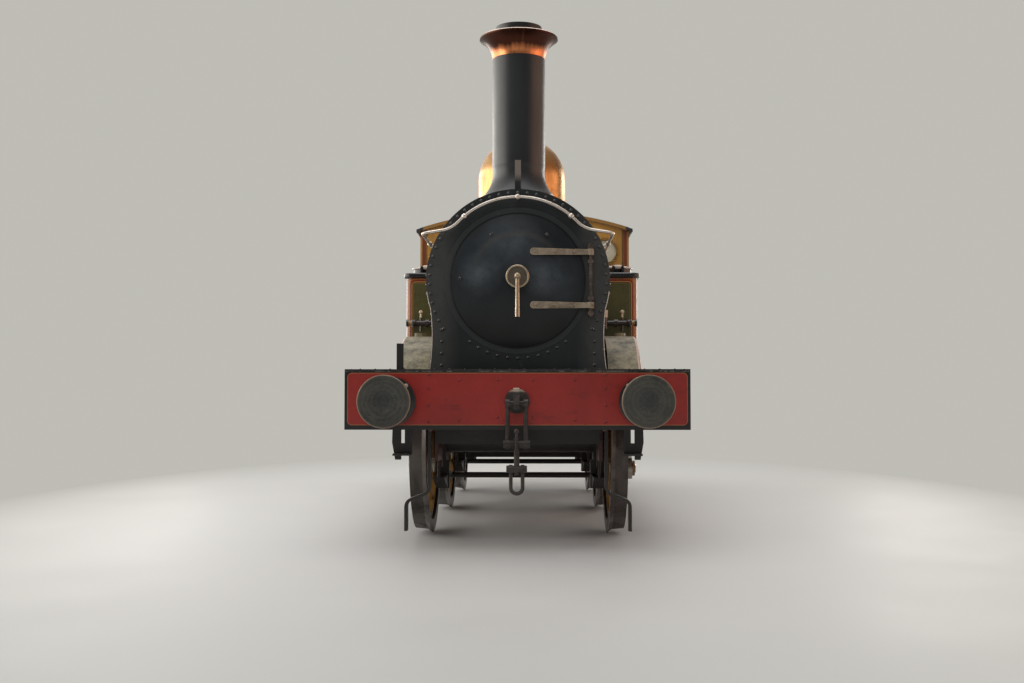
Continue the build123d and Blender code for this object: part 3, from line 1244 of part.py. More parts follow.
def crank_axle():
    """Axle with two inside cranks, each opposite the crankpin of its own side."""
    axle = plain_axle()
    half_pin = INSIDE_PIN_LENGTH / 2
    for x, pin_angle in ((INSIDE_CRANK_X, RIGHT_PIN_ANGLE), (-INSIDE_CRANK_X, LEFT_PIN_ANGLE)):
        turn = Rot(0, 0, pin_angle + 180) * Pos(INSIDE_THROW / 2, 0)
        web = turn * SlotOverall(INSIDE_THROW + INSIDE_WEB_WIDTH, INSIDE_WEB_WIDTH)
        axle -= side_plate(x - half_pin, x + half_pin, Circle(AXLE_RADIUS + 1))
        pin = turn * Pos(INSIDE_THROW / 2, 0) * Circle(AXLE_SEAT_RADIUS)
        axle += side_plate(x - half_pin, x + half_pin, pin)
        for start in (x - half_pin - INSIDE_WEB_THICK, x + half_pin):
            axle += side_plate(start, start + INSIDE_WEB_THICK, web)
    return axle


def build_wheels():
    """Three wheelsets: spoked centres, flanged tyres and axles, the driving axle cranked."""
    r = WHEEL_RADIUS
    back = WHEEL_BACK
    face = WHEEL_FACE
    tread = r - TREAD_FALL
    profile = [
        (back, TREAD_INNER), (back, r + FLANGE_DEPTH), (back + FLANGE_WIDTH, r), (face, tread),
        (face, TREAD_INNER),
    ]
    for name, place in AXLE_PLACES.items():
        centre = Pos(0, at(place), above(WHEEL_RADIUS))
        right_wheel = spoked_wheel(RIGHT_PIN_ANGLE)
        left_wheel = left(spoked_wheel(LEFT_PIN_ANGLE))
        save(f"{name}_wheels", centre * right_wheel, centre * left_wheel)
        axle = crank_axle() if name == "driving" else plain_axle()
        save(f"{name}_axle", centre * axle)
        save(f"{name}_tyres", *pair(turned(profile, place, WHEEL_RADIUS)))


def build_coupling_rods():
    """Fluted rods with an oil cup over each boss."""
    for name, angle, flip in (("right", RIGHT_PIN_ANGLE, False), ("left", LEFT_PIN_ANGLE, True)):
        dy = CRANK_THROW * cos(radians(angle))
        height = above(WHEEL_RADIUS) + CRANK_THROW * sin(radians(angle))
        places = [at(place) + dy for place in AXLE_PLACES.values()]
        first, last = places[0], places[-1]
        bar = Pos((first + last) / 2, height) * Rectangle(last - first, ROD_DEPTH)
        for y in places:
            bar += Pos(y, height) * Circle(ROD_BOSS_RADIUS)
            bar += Pos(y, height + ROD_BOSS_RADIUS) * Rectangle(44, 50)
        for y in places:
            bar -= Pos(y, height) * Circle(CRANKPIN_RADIUS + RUNNING)
        rod = side_plate(ROD_INSIDE, ROD_OUTSIDE, bar)
        for here, following in zip(places, places[1:]):
            flute = SlotOverall(following - here - 2 * ROD_BOSS_RADIUS - 60, ROD_DEPTH - 34)
            rod -= side_plate(ROD_OUTSIDE - 10, ROD_OUTSIDE + 5, Pos((here + following) / 2, height) * flute)
        save(f"coupling_rod_{name}", left(rod) if flip else rod)


build_frames()
build_stretchers()
build_running_plate()
build_beams()
build_buffers()
build_couplings()
build_smokebox()
build_smokebox_door()
build_chimney()
build_boiler()
build_firehole_door()
build_backhead_fittings()
build_cab_controls()
build_dome()
build_safety_valves()
build_tanks()
build_cab()
build_cab_handrails()
build_bunker()
build_splashers()
build_handrails()
build_lamp_irons()
build_feed_pipes()
build_cylinders()
build_guard_irons()
build_steps()
build_front_steps()
build_springs()
build_brakes()
build_wheels()
build_coupling_rods()
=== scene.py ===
"""Paint, polished metal, rivets, lining and light for a six-coupled side tank steam locomotive."""

from math import cos, pi, radians, sin, sqrt

import bmesh
import bpy
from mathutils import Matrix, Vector
from mathutils.bvhtree import BVHTree


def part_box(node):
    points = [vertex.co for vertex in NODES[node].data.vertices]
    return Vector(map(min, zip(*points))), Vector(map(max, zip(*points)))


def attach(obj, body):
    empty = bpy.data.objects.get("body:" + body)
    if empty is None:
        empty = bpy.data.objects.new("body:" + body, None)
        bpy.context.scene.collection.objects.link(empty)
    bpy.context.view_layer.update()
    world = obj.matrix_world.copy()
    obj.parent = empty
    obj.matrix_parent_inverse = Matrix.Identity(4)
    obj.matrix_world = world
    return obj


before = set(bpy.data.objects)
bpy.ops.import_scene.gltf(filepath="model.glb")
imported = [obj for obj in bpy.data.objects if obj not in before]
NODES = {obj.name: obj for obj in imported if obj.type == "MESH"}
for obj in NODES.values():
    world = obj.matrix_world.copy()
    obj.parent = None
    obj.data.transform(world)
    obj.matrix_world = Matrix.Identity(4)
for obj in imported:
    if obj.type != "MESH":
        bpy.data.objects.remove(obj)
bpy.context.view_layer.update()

# The photograph and its camera, found from the rails in the floor and from the buffers
PHOTO_WIDTH = 1024
FOCAL_PIXELS = 1223.0
SENSOR_WIDTH = 36.0
CAMERA_BEFORE_BUFFERS = 8.0
CAMERA_X = 0.152
CAMERA_ABOVE_RAIL = 1.076
CAMERA_YAW = 1.2647                              # degrees to the left
CAMERA_PITCH = 2.3639                            # degrees upwards

# Where the frame stands
FLANGE = 0.028                                   # from the flange tips to the top of the rail
BUFFER_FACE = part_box("buffer_heads")[0].y
BEAM_LOW, BEAM_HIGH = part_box("buffer_beams")
PLATE_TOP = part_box("running_plate")[1].z
SMOKEBOX_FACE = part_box("smokebox_front")[0].y
SMOKEBOX_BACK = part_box("smokebox")[1].y
DOOR_LOW, DOOR_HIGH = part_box("smokebox_door")
BOILER_Z = (DOOR_LOW.z + DOOR_HIGH.z) / 2
DOOR_RADIUS = (DOOR_HIGH.z - DOOR_LOW.z) / 2
SMOKEBOX_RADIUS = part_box("smokebox_front")[1].z - BOILER_Z
CAB_LOW, CAB_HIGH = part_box("cab_side_right")
BUNKER_LOW, BUNKER_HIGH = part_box("coal_bunker")
ROOF_LOW, ROOF_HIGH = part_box("cab_roof")
DOME_LOW, DOME_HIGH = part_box("dome")


def above(height):
    """Z of a height in metres above the rail."""
    return height + FLANGE


def at(place):
    """Y of a place in metres behind the face of the front beam."""
    return place + BEAM_LOW.y


CHIMNEY_Y = at(0.750)
TANK_FRONT = at(2.200)
TANK_SIDE = 1.010
CORNICE = above(2.070)
BUFFER_X = 0.870
BUFFER_Z = above(1.013)
WHEEL_Z = above(0.686)
WHEELSETS = {"leading": at(1.25), "driving": at(3.30), "trailing": at(5.35)}


class Nodes:
    """A node tree, with short names for the nodes that it uses."""

    def __init__(self, tree):
        self.tree = tree
        tree.nodes.clear()

    def add(self, kind, inputs=(), **settings):
        """A new node; its inputs are fed in their order, or by name or number from a dictionary."""
        node = self.tree.nodes.new(kind)
        for key, value in settings.items():
            setattr(node, key, value)
        for key, value in inputs.items() if isinstance(inputs, dict) else enumerate(inputs):
            self.feed(node.inputs[key], value)
        return node

    def feed(self, socket, value):
        """Link an output to a socket, or set the socket's own value."""
        if isinstance(value, bpy.types.NodeSocket):
            self.tree.links.new(value, socket)
        elif isinstance(value, (tuple, list)) and len(socket.default_value) == 4 and len(value) == 3:
            socket.default_value = (*value, 1.0)
        else:
            socket.default_value = value

    def math(self, operation, *values):
        return self.add("ShaderNodeMath", values, operation=operation).outputs[0]

    def times(self, *values):
        """Product of the values; a tuple among them stands for a span."""
        result, *others = [self.span(*value) if isinstance(value, tuple) else value for value in values]
        for value in others:
            result = self.math("MULTIPLY", result, value)
        return result

    def size(self, value):
        return self.math("ABSOLUTE", value)

    def split(self, vector):
        """X, Y and Z of a vector."""
        return self.add("ShaderNodeSeparateXYZ", (vector,)).outputs[:]

    def span(self, value, low, high, to_low=0.0, to_high=1.0):
        """Map low..high to to_low..to_high, held at both ends."""
        inputs = {"Value": value, "From Min": low, "From Max": high, "To Min": to_low, "To Max": to_high}
        return self.add("ShaderNodeMapRange", inputs, clamp=True).outputs[0]

    def mix(self, share, first, second):
        """The second colour where the share is 1, the first where it is 0."""
        return self.add("ShaderNodeMix", {0: share, 6: first, 7: second}, data_type="RGBA").outputs[2]

    def blend(self, share, first, second):
        """The second shader where the share is 1, the first where it is 0."""
        return self.add("ShaderNodeMixShader", (share, first, second)).outputs[0]

    def within(self, value, low, high, soft=0.001):
        """1 between two values."""
        middle = (low + high) / 2
        half = (high - low) / 2
        off = self.size(self.math("SUBTRACT", value, middle))
        return self.span(off, half + soft, half - soft)

    def away(self, u, v, centre_u, centre_v):
        """Distance from a point in the plane of u and v."""
        square = self.math("POWER", self.math("SUBTRACT", u, centre_u), 2.0)
        other = self.math("POWER", self.math("SUBTRACT", v, centre_v), 2.0)
        return self.math("SQRT", self.math("ADD", square, other))


class Paint(Nodes):
    """The node tree of one material. Its tone is the colour so far, and over() lays more on it."""

    def __init__(self, name):
        self.material = bpy.data.materials.new(name)
        self.material.use_nodes = True
        super().__init__(self.material.node_tree)
        self.shader = self.add("ShaderNodeBsdfPrincipled")
        output = self.add("ShaderNodeOutputMaterial")
        self.surface = output.inputs["Surface"]
        self.tree.links.new(self.shader.outputs["BSDF"], self.surface)
        self.place = self.add("ShaderNodeTexCoord").outputs["Object"]
        self.normal = self.add("ShaderNodeNewGeometry").outputs["Normal"]
        self.x, self.y, self.z = self.split(self.place)
        self.nx, self.ny, self.nz = self.split(self.normal)
        self.broad = self.size(self.x)
        self.tone = None

    def stretched(self, scale):
        """The object's coordinates with each axis scaled."""
        return self.add("ShaderNodeMapping", {"Vector": self.place, "Scale": scale}).outputs[0]

    def noise(self, scale, detail=3.0, rough=0.55, vector=None, distortion=0.0):
        inputs = {"Scale": scale, "Detail": detail, "Roughness": rough, "Distortion": distortion}
        inputs["Vector"] = self.place if vector is None else vector
        return self.add("ShaderNodeTexNoise", inputs).outputs["Fac"]

    def edges(self, radius):
        """Near 1 where the surface turns a corner within the radius."""
        bevel = self.add("ShaderNodeBevel", {"Radius": radius}, samples=4).outputs[0]
        dot = self.add("ShaderNodeVectorMath", (bevel, self.normal), operation="DOT_PRODUCT")
        return self.span(dot.outputs["Value"], 0.99, 0.80)

    def rounded(self, u, v, box, radius):
        """Distance from the edge of a rounded rectangle, negative inside."""
        u0, u1, v0, v1 = box
        out = []
        for value, low, high in ((u, u0, u1), (v, v0, v1)):
            offset = self.size(self.math("SUBTRACT", value, (low + high) / 2))
            out.append(self.math("SUBTRACT", offset, (high - low) / 2 - radius))
        beyond = [self.math("MAXIMUM", part, 0.0) for part in out]
        square = self.math("ADD", self.math("POWER", beyond[0], 2.0), self.math("POWER", beyond[1], 2.0))
        inside = self.math("MINIMUM", self.math("MAXIMUM", out[0], out[1]), 0.0)
        distance = self.math("ADD", self.math("SQRT", square), inside)
        return self.math("SUBTRACT", distance, radius)

    def outside(self, distance):
        """1 beyond an edge that is at distance 0."""
        return self.span(distance, -0.0006, 0.0006)

    def band(self, distance, centre, width, soft=0.0008):
        """1 within a stripe of that width round a distance."""
        off = self.size(self.math("SUBTRACT", distance, centre))
        return self.span(off, width / 2 + soft, width / 2 - soft)

    def facing(self, part, low=0.80):
        """1 where the surface faces along one axis, either way."""
        return self.span(self.size(part), low, low + 0.08)

    def over(self, colour, *shares):
        """Lay a colour over the tone by the product of the shares, each a value or a span's tuple."""
        self.tone = self.mix(self.times(*shares), self.tone, colour)

    def done(self, height, strength, distance):
        """Use the tone as the base colour, and a bump of that height."""
        bump = self.add("ShaderNodeBump", {"Strength": strength, "Distance": distance, "Height": height})
        self.set(Base_Color=self.tone, Normal=bump.outputs[0])
        return self.material

    def set(self, **values):
        """Feed inputs of the shader; an underscore stands for a space."""
        for key, value in values.items():
            self.feed(self.shader.inputs[key.replace("_", " ")], value)


def scaled(colour, factor):
    return tuple(min(1.0, part * factor) for part in colour)


def painted(name, colour, rough, coat, pattern=None, worn=(0.10, 0.08, 0.07), dust=(0.20, 0.17, 0.14),
            edge=0.004, wear=0.5, dusty=0.25, clouds=0.35, specular=0.5, coat_rough=None):
    """Old paint: cloudy colour, a pattern over it, dust low down and on top, rubbed corners."""
    paint = Paint(name)
    cloud = paint.noise(1.7, 4.0, 0.6)
    fine = paint.noise(38.0, 3.0, 0.6)
    darker = scaled(colour, 1.0 - clouds * 0.6)
    lighter = scaled(colour, 1.0 + clouds * 0.6)
    paint.tone = paint.mix(paint.span(cloud, 0.35, 0.68), darker, lighter)
    paint.over(scaled(colour, 0.55), (fine, 0.45, 0.75, 0.0, 0.22))
    if pattern is not None:
        pattern(paint)
    low = paint.span(paint.z, 1.25, 0.15, 0.0, 0.8)
    up = paint.span(paint.nz, 0.55, 1.0, 0.0, 0.55)
    patches = paint.span(paint.noise(6.0, 5.0, 0.7), 0.35, 0.75)
    settled = paint.times(paint.math("MAXIMUM", low, up), patches)
    paint.over(dust, settled, dusty)
    paint.over(worn, paint.edges(edge), (paint.noise(22.0, 4.0, 0.7), 0.42, 0.62), wear)
    smear = paint.noise(4.5, 5.0, 0.65, paint.stretched((1.0, 1.0, 0.45)))
    uneven = paint.span(smear, 0.3, 0.75, rough * 0.75, rough * 1.35)
    paint.set(
        Roughness=paint.math("ADD", uneven, paint.times(settled, 0.25)),
        Coat_Weight=coat,
        Coat_Roughness=rough * 0.4 if coat_rough is None else coat_rough,
        Specular_IOR_Level=specular,
    )
    return paint.done(paint.math("ADD", fine, paint.times(cloud, 2.0)), 0.10, 0.0006)


def polished(name, colour, tarnish, rough, pattern=None, spread=(0.45, 0.75), grain=(1.0, 1.0, 1.0),
             metal=1.0, edge=0.003):
    """Bare metal rubbed bright, tarnished in patches, with fine scratches along the grain."""
    paint = Paint(name)
    patch = paint.span(paint.noise(5.0, 5.0, 0.65, distortion=0.6), spread[0], spread[1])
    scratch = paint.noise(60.0, 4.0, 0.7, paint.stretched(grain))
    paint.tone = paint.mix(patch, colour, tarnish)
    paint.over(scaled(tarnish, 0.6), (scratch, 0.5, 0.8, 0.0, 0.25))
    paint.over(scaled(colour, 1.15), paint.edges(edge), 0.5)
    if pattern is not None:
        pattern(paint)
    uneven = paint.span(scratch, 0.3, 0.7, rough * 0.7, rough * 1.3)
    paint.set(Metallic=metal, Roughness=paint.math("ADD", uneven, paint.times(patch, rough)))
    return paint.done(scratch, 0.06, 0.0004)


CRIMSON = (0.285, 0.017, 0.012)
INK = (0.009, 0.009, 0.010)
ORANGE = (0.36, 0.15, 0.045)
OCHRE = (0.46, 0.235, 0.045)
OLIVE = (0.080, 0.074, 0.021)
TERRACOTTA = (0.38, 0.115, 0.022)
DARK_RED = (0.16, 0.022, 0.010)
BROWN_RED = (0.105, 0.022, 0.014)
CREAM = (0.66, 0.58, 0.44)
WOOD = (0.17, 0.10, 0.055)
COAL_DUST = (0.018, 0.017, 0.016)


def beam_pattern(paint):
    """Black border and a thin line round the faces of the beams, stains, and a rubbed top edge."""
    top = BEAM_HIGH.z
    inner = (-BEAM_HIGH.x + 0.019, BEAM_HIGH.x - 0.019, BEAM_LOW.z + 0.031, top - 0.013)
    line = paint.rounded(paint.x, paint.z, inner, 0.032)
    paint.over(INK, paint.outside(line))
    paint.over(ORANGE, paint.band(line, -0.0025, 0.0035))
    stain = paint.noise(9.0, 5.0, 0.7, paint.stretched((0.5, 0.5, 1.6)))
    paint.over((0.055, 0.008, 0.008), (stain, 0.56, 0.74, 0.0, 0.55))
    rubbed = paint.span(paint.z, top - 0.010, top)
    paint.over((0.30, 0.27, 0.23), rubbed, (paint.noise(30.0), 0.45, 0.6, 0.0, 0.6))


def lined(paint, u, box, share):
    """A panel: a cream line, a black one round it, and olive outside them."""
    distance = paint.rounded(u, paint.z, box, 0.04)
    paint.over(scaled(OLIVE, 1.2), share, paint.outside(distance))
    paint.over(INK, share, paint.band(distance, -0.006, 0.011))
    paint.over(CREAM, share, paint.band(distance, -0.0145, 0.0045))


def tank_pattern(paint):
    """Olive panels, a terracotta border edged by lines; the cornice and the top are black."""
    top = CORNICE - 0.035
    low = PLATE_TOP + 0.055
    front = paint.rounded(paint.broad, paint.z, (0.30, TANK_SIDE - 0.055, low, top), 0.025)
    side = paint.rounded(paint.y, paint.z, (TANK_FRONT + 0.085, CAB_LOW.y - 0.055, low, top), 0.045)
    sideways = paint.facing(paint.nx)
    ahead = paint.times(front, paint.math("SUBTRACT", 1.0, sideways))
    distance = paint.math("ADD", paint.times(side, sideways), ahead)
    border = paint.span(paint.noise(7.0, 4.0), 0.35, 0.7)
    paint.over(paint.mix(border, TERRACOTTA, scaled(TERRACOTTA, 0.55)), paint.outside(distance))
    paint.over((0.56, 0.21, 0.04), paint.band(distance, 0.004, 0.006))
    paint.over(DARK_RED, paint.band(distance, 0.014, 0.013))
    paint.over((0.20, 0.13, 0.05), paint.band(distance, -0.012, 0.003))
    cornice = paint.span(paint.z, CORNICE - 0.001, CORNICE)
    paint.over(scaled(INK, 1.2), paint.math("MAXIMUM", cornice, paint.facing(paint.nz, 0.5)))


def cab_front_pattern(paint):
    """Golden clouds, and brown-red strips down the corners with a dark line beside them."""
    strip = 1.032
    golden = paint.noise(3.0, 3.0, 0.6, paint.stretched((1.0, 1.0, 0.5)))
    paint.over((0.58, 0.36, 0.10), (golden, 0.45, 0.7, 0.0, 0.45))
    paint.over((0.17, 0.045, 0.018), (paint.broad, strip, strip + 0.004))
    paint.over(INK, paint.band(paint.broad, strip - 0.006, 0.008))


def cab_side_pattern(paint):
    """A lined panel on each side of the doorway."""
    margin = 0.045
    high = above(2.010)
    side = paint.facing(paint.nx)
    for y0, y1 in ((CAB_LOW.y + margin, 1.165), (2.085, CAB_HIGH.y - margin)):
        here = paint.within(paint.y, y0 - margin, y1 + margin)
        below = paint.span(paint.z, high + margin + 0.001, high + margin)
        lined(paint, paint.y, (y0, y1, PLATE_TOP + margin, high), paint.times(side, here, below))


def bunker_pattern(paint):
    """Lined panels outside, coal dust inside."""
    low = PLATE_TOP + 0.045
    high = BUNKER_HIGH.z - 0.050
    side = (BUNKER_LOW.y + 0.03, BUNKER_HIGH.y - 0.075, low, high)
    lined(paint, paint.y, side, paint.facing(paint.nx))
    rear = (BUNKER_LOW.x + 0.075, BUNKER_HIGH.x - 0.075, low, high)
    lined(paint, paint.x, rear, paint.facing(paint.ny))
    paint.over(
        COAL_DUST,
        (paint.broad, BUNKER_HIGH.x - 0.008, BUNKER_HIGH.x - 0.010),
        (paint.y, BUNKER_HIGH.y - 0.008, BUNKER_HIGH.y - 0.010),
        (paint.y, BUNKER_LOW.y + 0.012, BUNKER_LOW.y + 0.014),
        (paint.z, above(1.70), above(1.71)),
    )


def boiler_pattern(paint):
    """Black bands edged with two fine lines."""
    for band in (at(1.18), at(2.00), at(3.05), at(3.69)):
        paint.over(INK, paint.within(paint.y, band - 0.031, band + 0.031))
        for line in (band - 0.037, band + 0.037):
            paint.over(CREAM, paint.within(paint.y, line - 0.0018, line + 0.0018))


def firebox_pattern(paint):
    """The backhead inside the cab and the part below the plate are black."""
    inside = paint.span(paint.y, CAB_LOW.y + 0.018, CAB_LOW.y + 0.022)
    low = paint.span(paint.z, PLATE_TOP, PLATE_TOP - 0.01)
    paint.over(scaled(INK, 1.6), paint.math("MAXIMUM", inside, low))


def plate_pattern(paint):
    """Worn boards on the cab's floor."""
    inside = paint.times(
        paint.within(paint.y, CAB_LOW.y + 0.02, CAB_HIGH.y - 0.02),
        (paint.broad, CAB_HIGH.x - 0.02, CAB_HIGH.x - 0.022),
        paint.facing(paint.nz),
        (paint.z, PLATE_TOP - 0.004, PLATE_TOP - 0.002),
    )
    board = paint.math("FRACT", paint.times(paint.x, 7.2))
    gap = paint.math("MAXIMUM", paint.span(board, 0.035, 0.02), paint.span(board, 0.965, 0.98))
    grain = paint.noise(40.0, 4.0, 0.7, paint.stretched((4.0, 0.35, 1.0)))
    wood = paint.mix(paint.span(grain, 0.35, 0.7), WOOD, scaled(WOOD, 0.45))
    paint.over(paint.mix(gap, wood, COAL_DUST), inside)


def roof_pattern(paint):
    """Grey above, pale inside the cab, and ochre ends between dark flared tips."""
    inside = paint.span(paint.broad, CAB_HIGH.x - 0.02, CAB_HIGH.x - 0.03)
    paint.over((0.30, 0.27, 0.21), (paint.nz, -0.4, -0.6), inside)
    paint.over(scaled(OCHRE, 0.62), paint.facing(paint.ny), (paint.broad, 1.062, 1.058))


def smokebox_pattern(paint):
    """A painted shadow in the seam round the door, a pale ring and a dark line outside it, a painted sheen
    on the flanks of the front plate, and scuffs.
    """
    radial = paint.away(paint.x, paint.z, 0.0, BOILER_Z)
    front = paint.facing(paint.ny)
    # Painted shadow in the seam round the door.
    paint.over(scaled(INK, 0.35), front, paint.band(radial, DOOR_RADIUS + 0.003, 0.012, 0.002))
    paint.over((0.030, 0.033, 0.036), front, paint.band(radial, DOOR_RADIUS + 0.028, 0.036, 0.004), 0.5)
    paint.over(scaled(INK, 0.5), front, paint.band(radial, DOOR_RADIUS + 0.052, 0.005, 0.002))
    scuff = paint.noise(14.0, 6.0, 0.75, paint.stretched((1.0, 1.0, 0.5)))
    # Paler flanks beside the door: a painted sheen, broken up like scuffs.
    flank_sheen = paint.times(front, (paint.broad, 0.42, 0.56), (scuff, 0.30, 0.60, 0.55, 1.0))
    paint.over((0.046, 0.046, 0.044), flank_sheen)
    paint.over((0.055, 0.054, 0.052), (scuff, 0.60, 0.78, 0.0, 0.5))


def door_pattern(paint):
    """Blue-black, with painted reflections as pale patches on both sides of the hub and above it, and
    painted shade at the rim and under the hub.
    """
    radial = paint.away(paint.x, paint.z, 0.0, BOILER_Z)
    cloud = paint.noise(9.0, 6.0, 0.70)
    # Painted reflections: pale patches beside and above the hub.
    pale = (                                     # x, height over the hub, reach, share
        (-0.27, 0.05, 0.18, 0.65),
        (0.17, 0.02, 0.16, 0.7),
        (0.30, 0.02, 0.18, 0.30),
        (-0.05, 0.26, 0.26, 0.5),
    )
    for x, z, reach, share in pale:
        patch = paint.span(paint.away(paint.x, paint.z, x, BOILER_Z + z), reach, reach * 0.15)
        paint.over((0.098, 0.112, 0.125), patch, (cloud, 0.30, 0.72, 0.25, 1.0), share)
    # A pale arc above the hub: painted highlight.
    high = paint.span(paint.z, BOILER_Z + 0.05, BOILER_Z + 0.3, 0.0, 0.5)
    paint.over((0.060, 0.052, 0.042), paint.band(radial, 0.335, 0.02, 0.02), high)
    # Painted shade under the hub and at the rim.
    paint.over(scaled(INK, 0.4), (paint.z, BOILER_Z - 0.10, BOILER_Z - 0.34, 0.0, 0.85))
    paint.over(scaled(INK, 0.4), (radial, DOOR_RADIUS - 0.008, DOOR_RADIUS - 0.002))


def chimney_pattern(paint):
    """Soot on the liner and inside."""
    radial = paint.away(paint.x, paint.y, 0.0, CHIMNEY_Y)
    paint.over(scaled(INK, 0.5), (radial, 0.181, 0.178))


def cap_pattern(paint):
    """Burnt dark towards the rim, with bright streaks rubbed up from the foot, and a painted highlight on
    the lip.
    """
    low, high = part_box("chimney_cap")
    rise = paint.span(paint.z, low.z + 0.018, low.z + 0.085)
    angle = paint.math("ARCTAN2", paint.x, paint.math("SUBTRACT", paint.y, CHIMNEY_Y))
    around = paint.add("ShaderNodeCombineXYZ", (paint.times(angle, 3.0), 0.0, paint.times(paint.z, 0.5)))
    streak = paint.noise(1.3, 3.0, 0.5, around.outputs[0])
    burnt = paint.math("ADD", rise, paint.span(streak, 0.30, 0.70, -0.25, 0.30))
    paint.over((0.070, 0.025, 0.016), (burnt, 0.0, 0.85))
    # Painted highlight along the lip.
    lip = paint.span(paint.z, high.z - 0.026, high.z - 0.022)
    paint.over((0.62, 0.50, 0.42), lip, (paint.z, high.z - 0.012, high.z - 0.016))


def dome_pattern(paint):
    """Browner around the shoulder: a painted darker reflection."""
    # Painted darker reflection round the shoulder.
    shoulder = paint.band(paint.z, DOME_HIGH.z - 0.09, 0.05, 0.05)
    cloud = paint.noise(6.0, 4.0, 0.6)
    paint.over((0.40, 0.16, 0.055), shoulder, (cloud, 0.35, 0.65, 0.2, 0.75))


def buffer_pattern(paint):
    """Rings worn into the faces, and a rubbed rim."""
    radial = paint.away(paint.broad, paint.z, BUFFER_X, BUFFER_Z)
    warp = paint.noise(8.0, 4.0, 0.7)
    rings = paint.math("FRACT", paint.math("ADD", paint.times(radial, 34.0), paint.times(warp, 1.8)))
    paint.over((0.125, 0.120, 0.100), paint.within(rings, 0.2, 0.8, 0.2), 0.22)
    paint.over((0.030, 0.034, 0.038), (radial, 0.100, 0.03, 0.0, 0.6))
    paint.over((0.13, 0.125, 0.10), (paint.noise(16.0, 5.0, 0.75), 0.54, 0.70, 0.0, 0.55))
    paint.over((0.020, 0.022, 0.022), (paint.noise(21.0, 5.0, 0.75), 0.54, 0.68, 0.0, 0.5))
    paint.over((0.36, 0.25, 0.17), (radial, 0.168, 0.175), 0.7)


def hook_pattern(paint):
    """Rubbed bright at the hooks' points."""
    paint.over((0.52, 0.42, 0.33), (paint.z, above(1.072), above(1.084)), 0.8)


def splasher_pattern(paint):
    """Pale mottled tops that are a painted reflection of the light from above, a brown-orange outer side,
    and a painted highlight along its shoulder.
    """
    mottle = paint.noise(8.0, 7.0, 0.75)
    # The pale mottle on the tops is a painted reflection.
    top = paint.mix(paint.span(mottle, 0.35, 0.58), (0.062, 0.050, 0.024), (0.36, 0.31, 0.20))
    paint.over(top, (paint.broad, 0.893, 0.889))
    paint.over(scaled(TERRACOTTA, 0.8), (paint.broad, 0.905, 0.908))
    # Painted highlight along the shoulder of the outer side.
    paint.over((0.62, 0.47, 0.40), paint.within(paint.broad, 0.889, 0.904, 0.002))


def wheel_pattern(paint):
    """Oily hubs, a cream line round the rim, and black beside the tyre."""
    here = None
    for y in WHEELSETS.values():
        radial = paint.away(paint.y, paint.z, y, WHEEL_Z)
        here = radial if here is None else paint.math("MINIMUM", here, radial)
    paint.over(INK, (here, 0.597, 0.600))
    paint.over(CREAM, paint.band(here, 0.572, 0.004))
    paint.over((0.05, 0.035, 0.02), (here, 0.17, 0.11), 0.55)


def lamp_iron_pattern(paint):
    """Brown-grey and rubbed above, black below."""
    paint.over((0.20, 0.165, 0.14), (paint.z, above(2.60), above(2.66)), 0.8)


def feed_pattern(paint):
    """Lever and ball rubbed bright, brass at the unions."""
    paint.over((0.55, 0.42, 0.28), (paint.z, above(1.716), above(1.722)))
    paint.over((0.50, 0.30, 0.10), paint.within(paint.broad, 0.952, 0.975, 0.001), 0.8)


def handle_pattern(paint):
    """The hand wheel's ring and ball are bright, its web is darker."""
    radial = paint.away(paint.x, paint.z, 0.0, BOILER_Z + 0.016)
    deep = paint.span(paint.y, SMOKEBOX_FACE - 0.170, SMOKEBOX_FACE - 0.160)
    paint.over((0.13, 0.115, 0.10), paint.within(radial, 0.024, 0.069, 0.002), deep, 0.8)


BLACK = painted("smokebox_black", (0.0140, 0.0180, 0.0195), 0.42, 0.05, smokebox_pattern,
                worn=(0.075, 0.070, 0.064), clouds=0.6, dusty=0.06, specular=0.4)
DOOR_BLACK = painted("door_black", (0.0110, 0.0150, 0.0190), 0.36, 0.05, door_pattern,
                     worn=(0.06, 0.06, 0.06), clouds=0.7, dusty=0.03, specular=0.35)
GLOSS_BLACK = painted("gloss_black", (0.011, 0.012, 0.013), 0.28, 0.4, clouds=0.5, dusty=0.12)
CHIMNEY_BLACK = painted("chimney_black", (0.008, 0.010, 0.012), 0.46, 0.60, chimney_pattern,
                        clouds=0.5, dusty=0.03, wear=0.2, specular=0.4, coat_rough=0.36)
PLATE_BLACK = painted("plate_black", (0.013, 0.013, 0.014), 0.36, 0.2, plate_pattern,
                      worn=(0.20, 0.17, 0.15), clouds=0.5, dusty=0.20, edge=0.006, wear=0.7)
RIVET_BLACK = painted("rivet_black", (0.022, 0.024, 0.026), 0.20, 0.7,
                      worn=(0.26, 0.25, 0.23), edge=0.005, wear=0.9, dusty=0.1)
DARK_STEP = painted("step_black", (0.014, 0.013, 0.013), 0.40, 0.1,
                    worn=(0.15, 0.13, 0.12), dusty=0.2, wear=0.8)
LAMP_IRON = painted("lamp_iron_black", (0.013, 0.013, 0.013), 0.40, 0.1, lamp_iron_pattern,
                    worn=(0.2, 0.17, 0.15), dusty=0.05)
IRON = painted("oily_iron", (0.020, 0.017, 0.015), 0.44, 0.1,
               worn=(0.13, 0.11, 0.095), dust=(0.09, 0.075, 0.060), dusty=0.30, wear=0.6)
SOOT = painted("smokebox_soot", (0.020, 0.018, 0.016), 0.75, 0.0,
               dust=(0.075, 0.060, 0.048), dusty=0.35, clouds=0.8)
TUBE_RUST = painted("tube_end_rust", (0.13, 0.065, 0.035), 0.62, 0.0,
                    dust=(0.09, 0.07, 0.055), dusty=0.30, clouds=0.9)
ROOF_PAINT = painted("roof_grey", (0.032, 0.032, 0.033), 0.45, 0.15, roof_pattern, dusty=0.3)
RED = painted("beam_crimson", CRIMSON, 0.36, 0.25, beam_pattern, dusty=0.05, clouds=0.3)
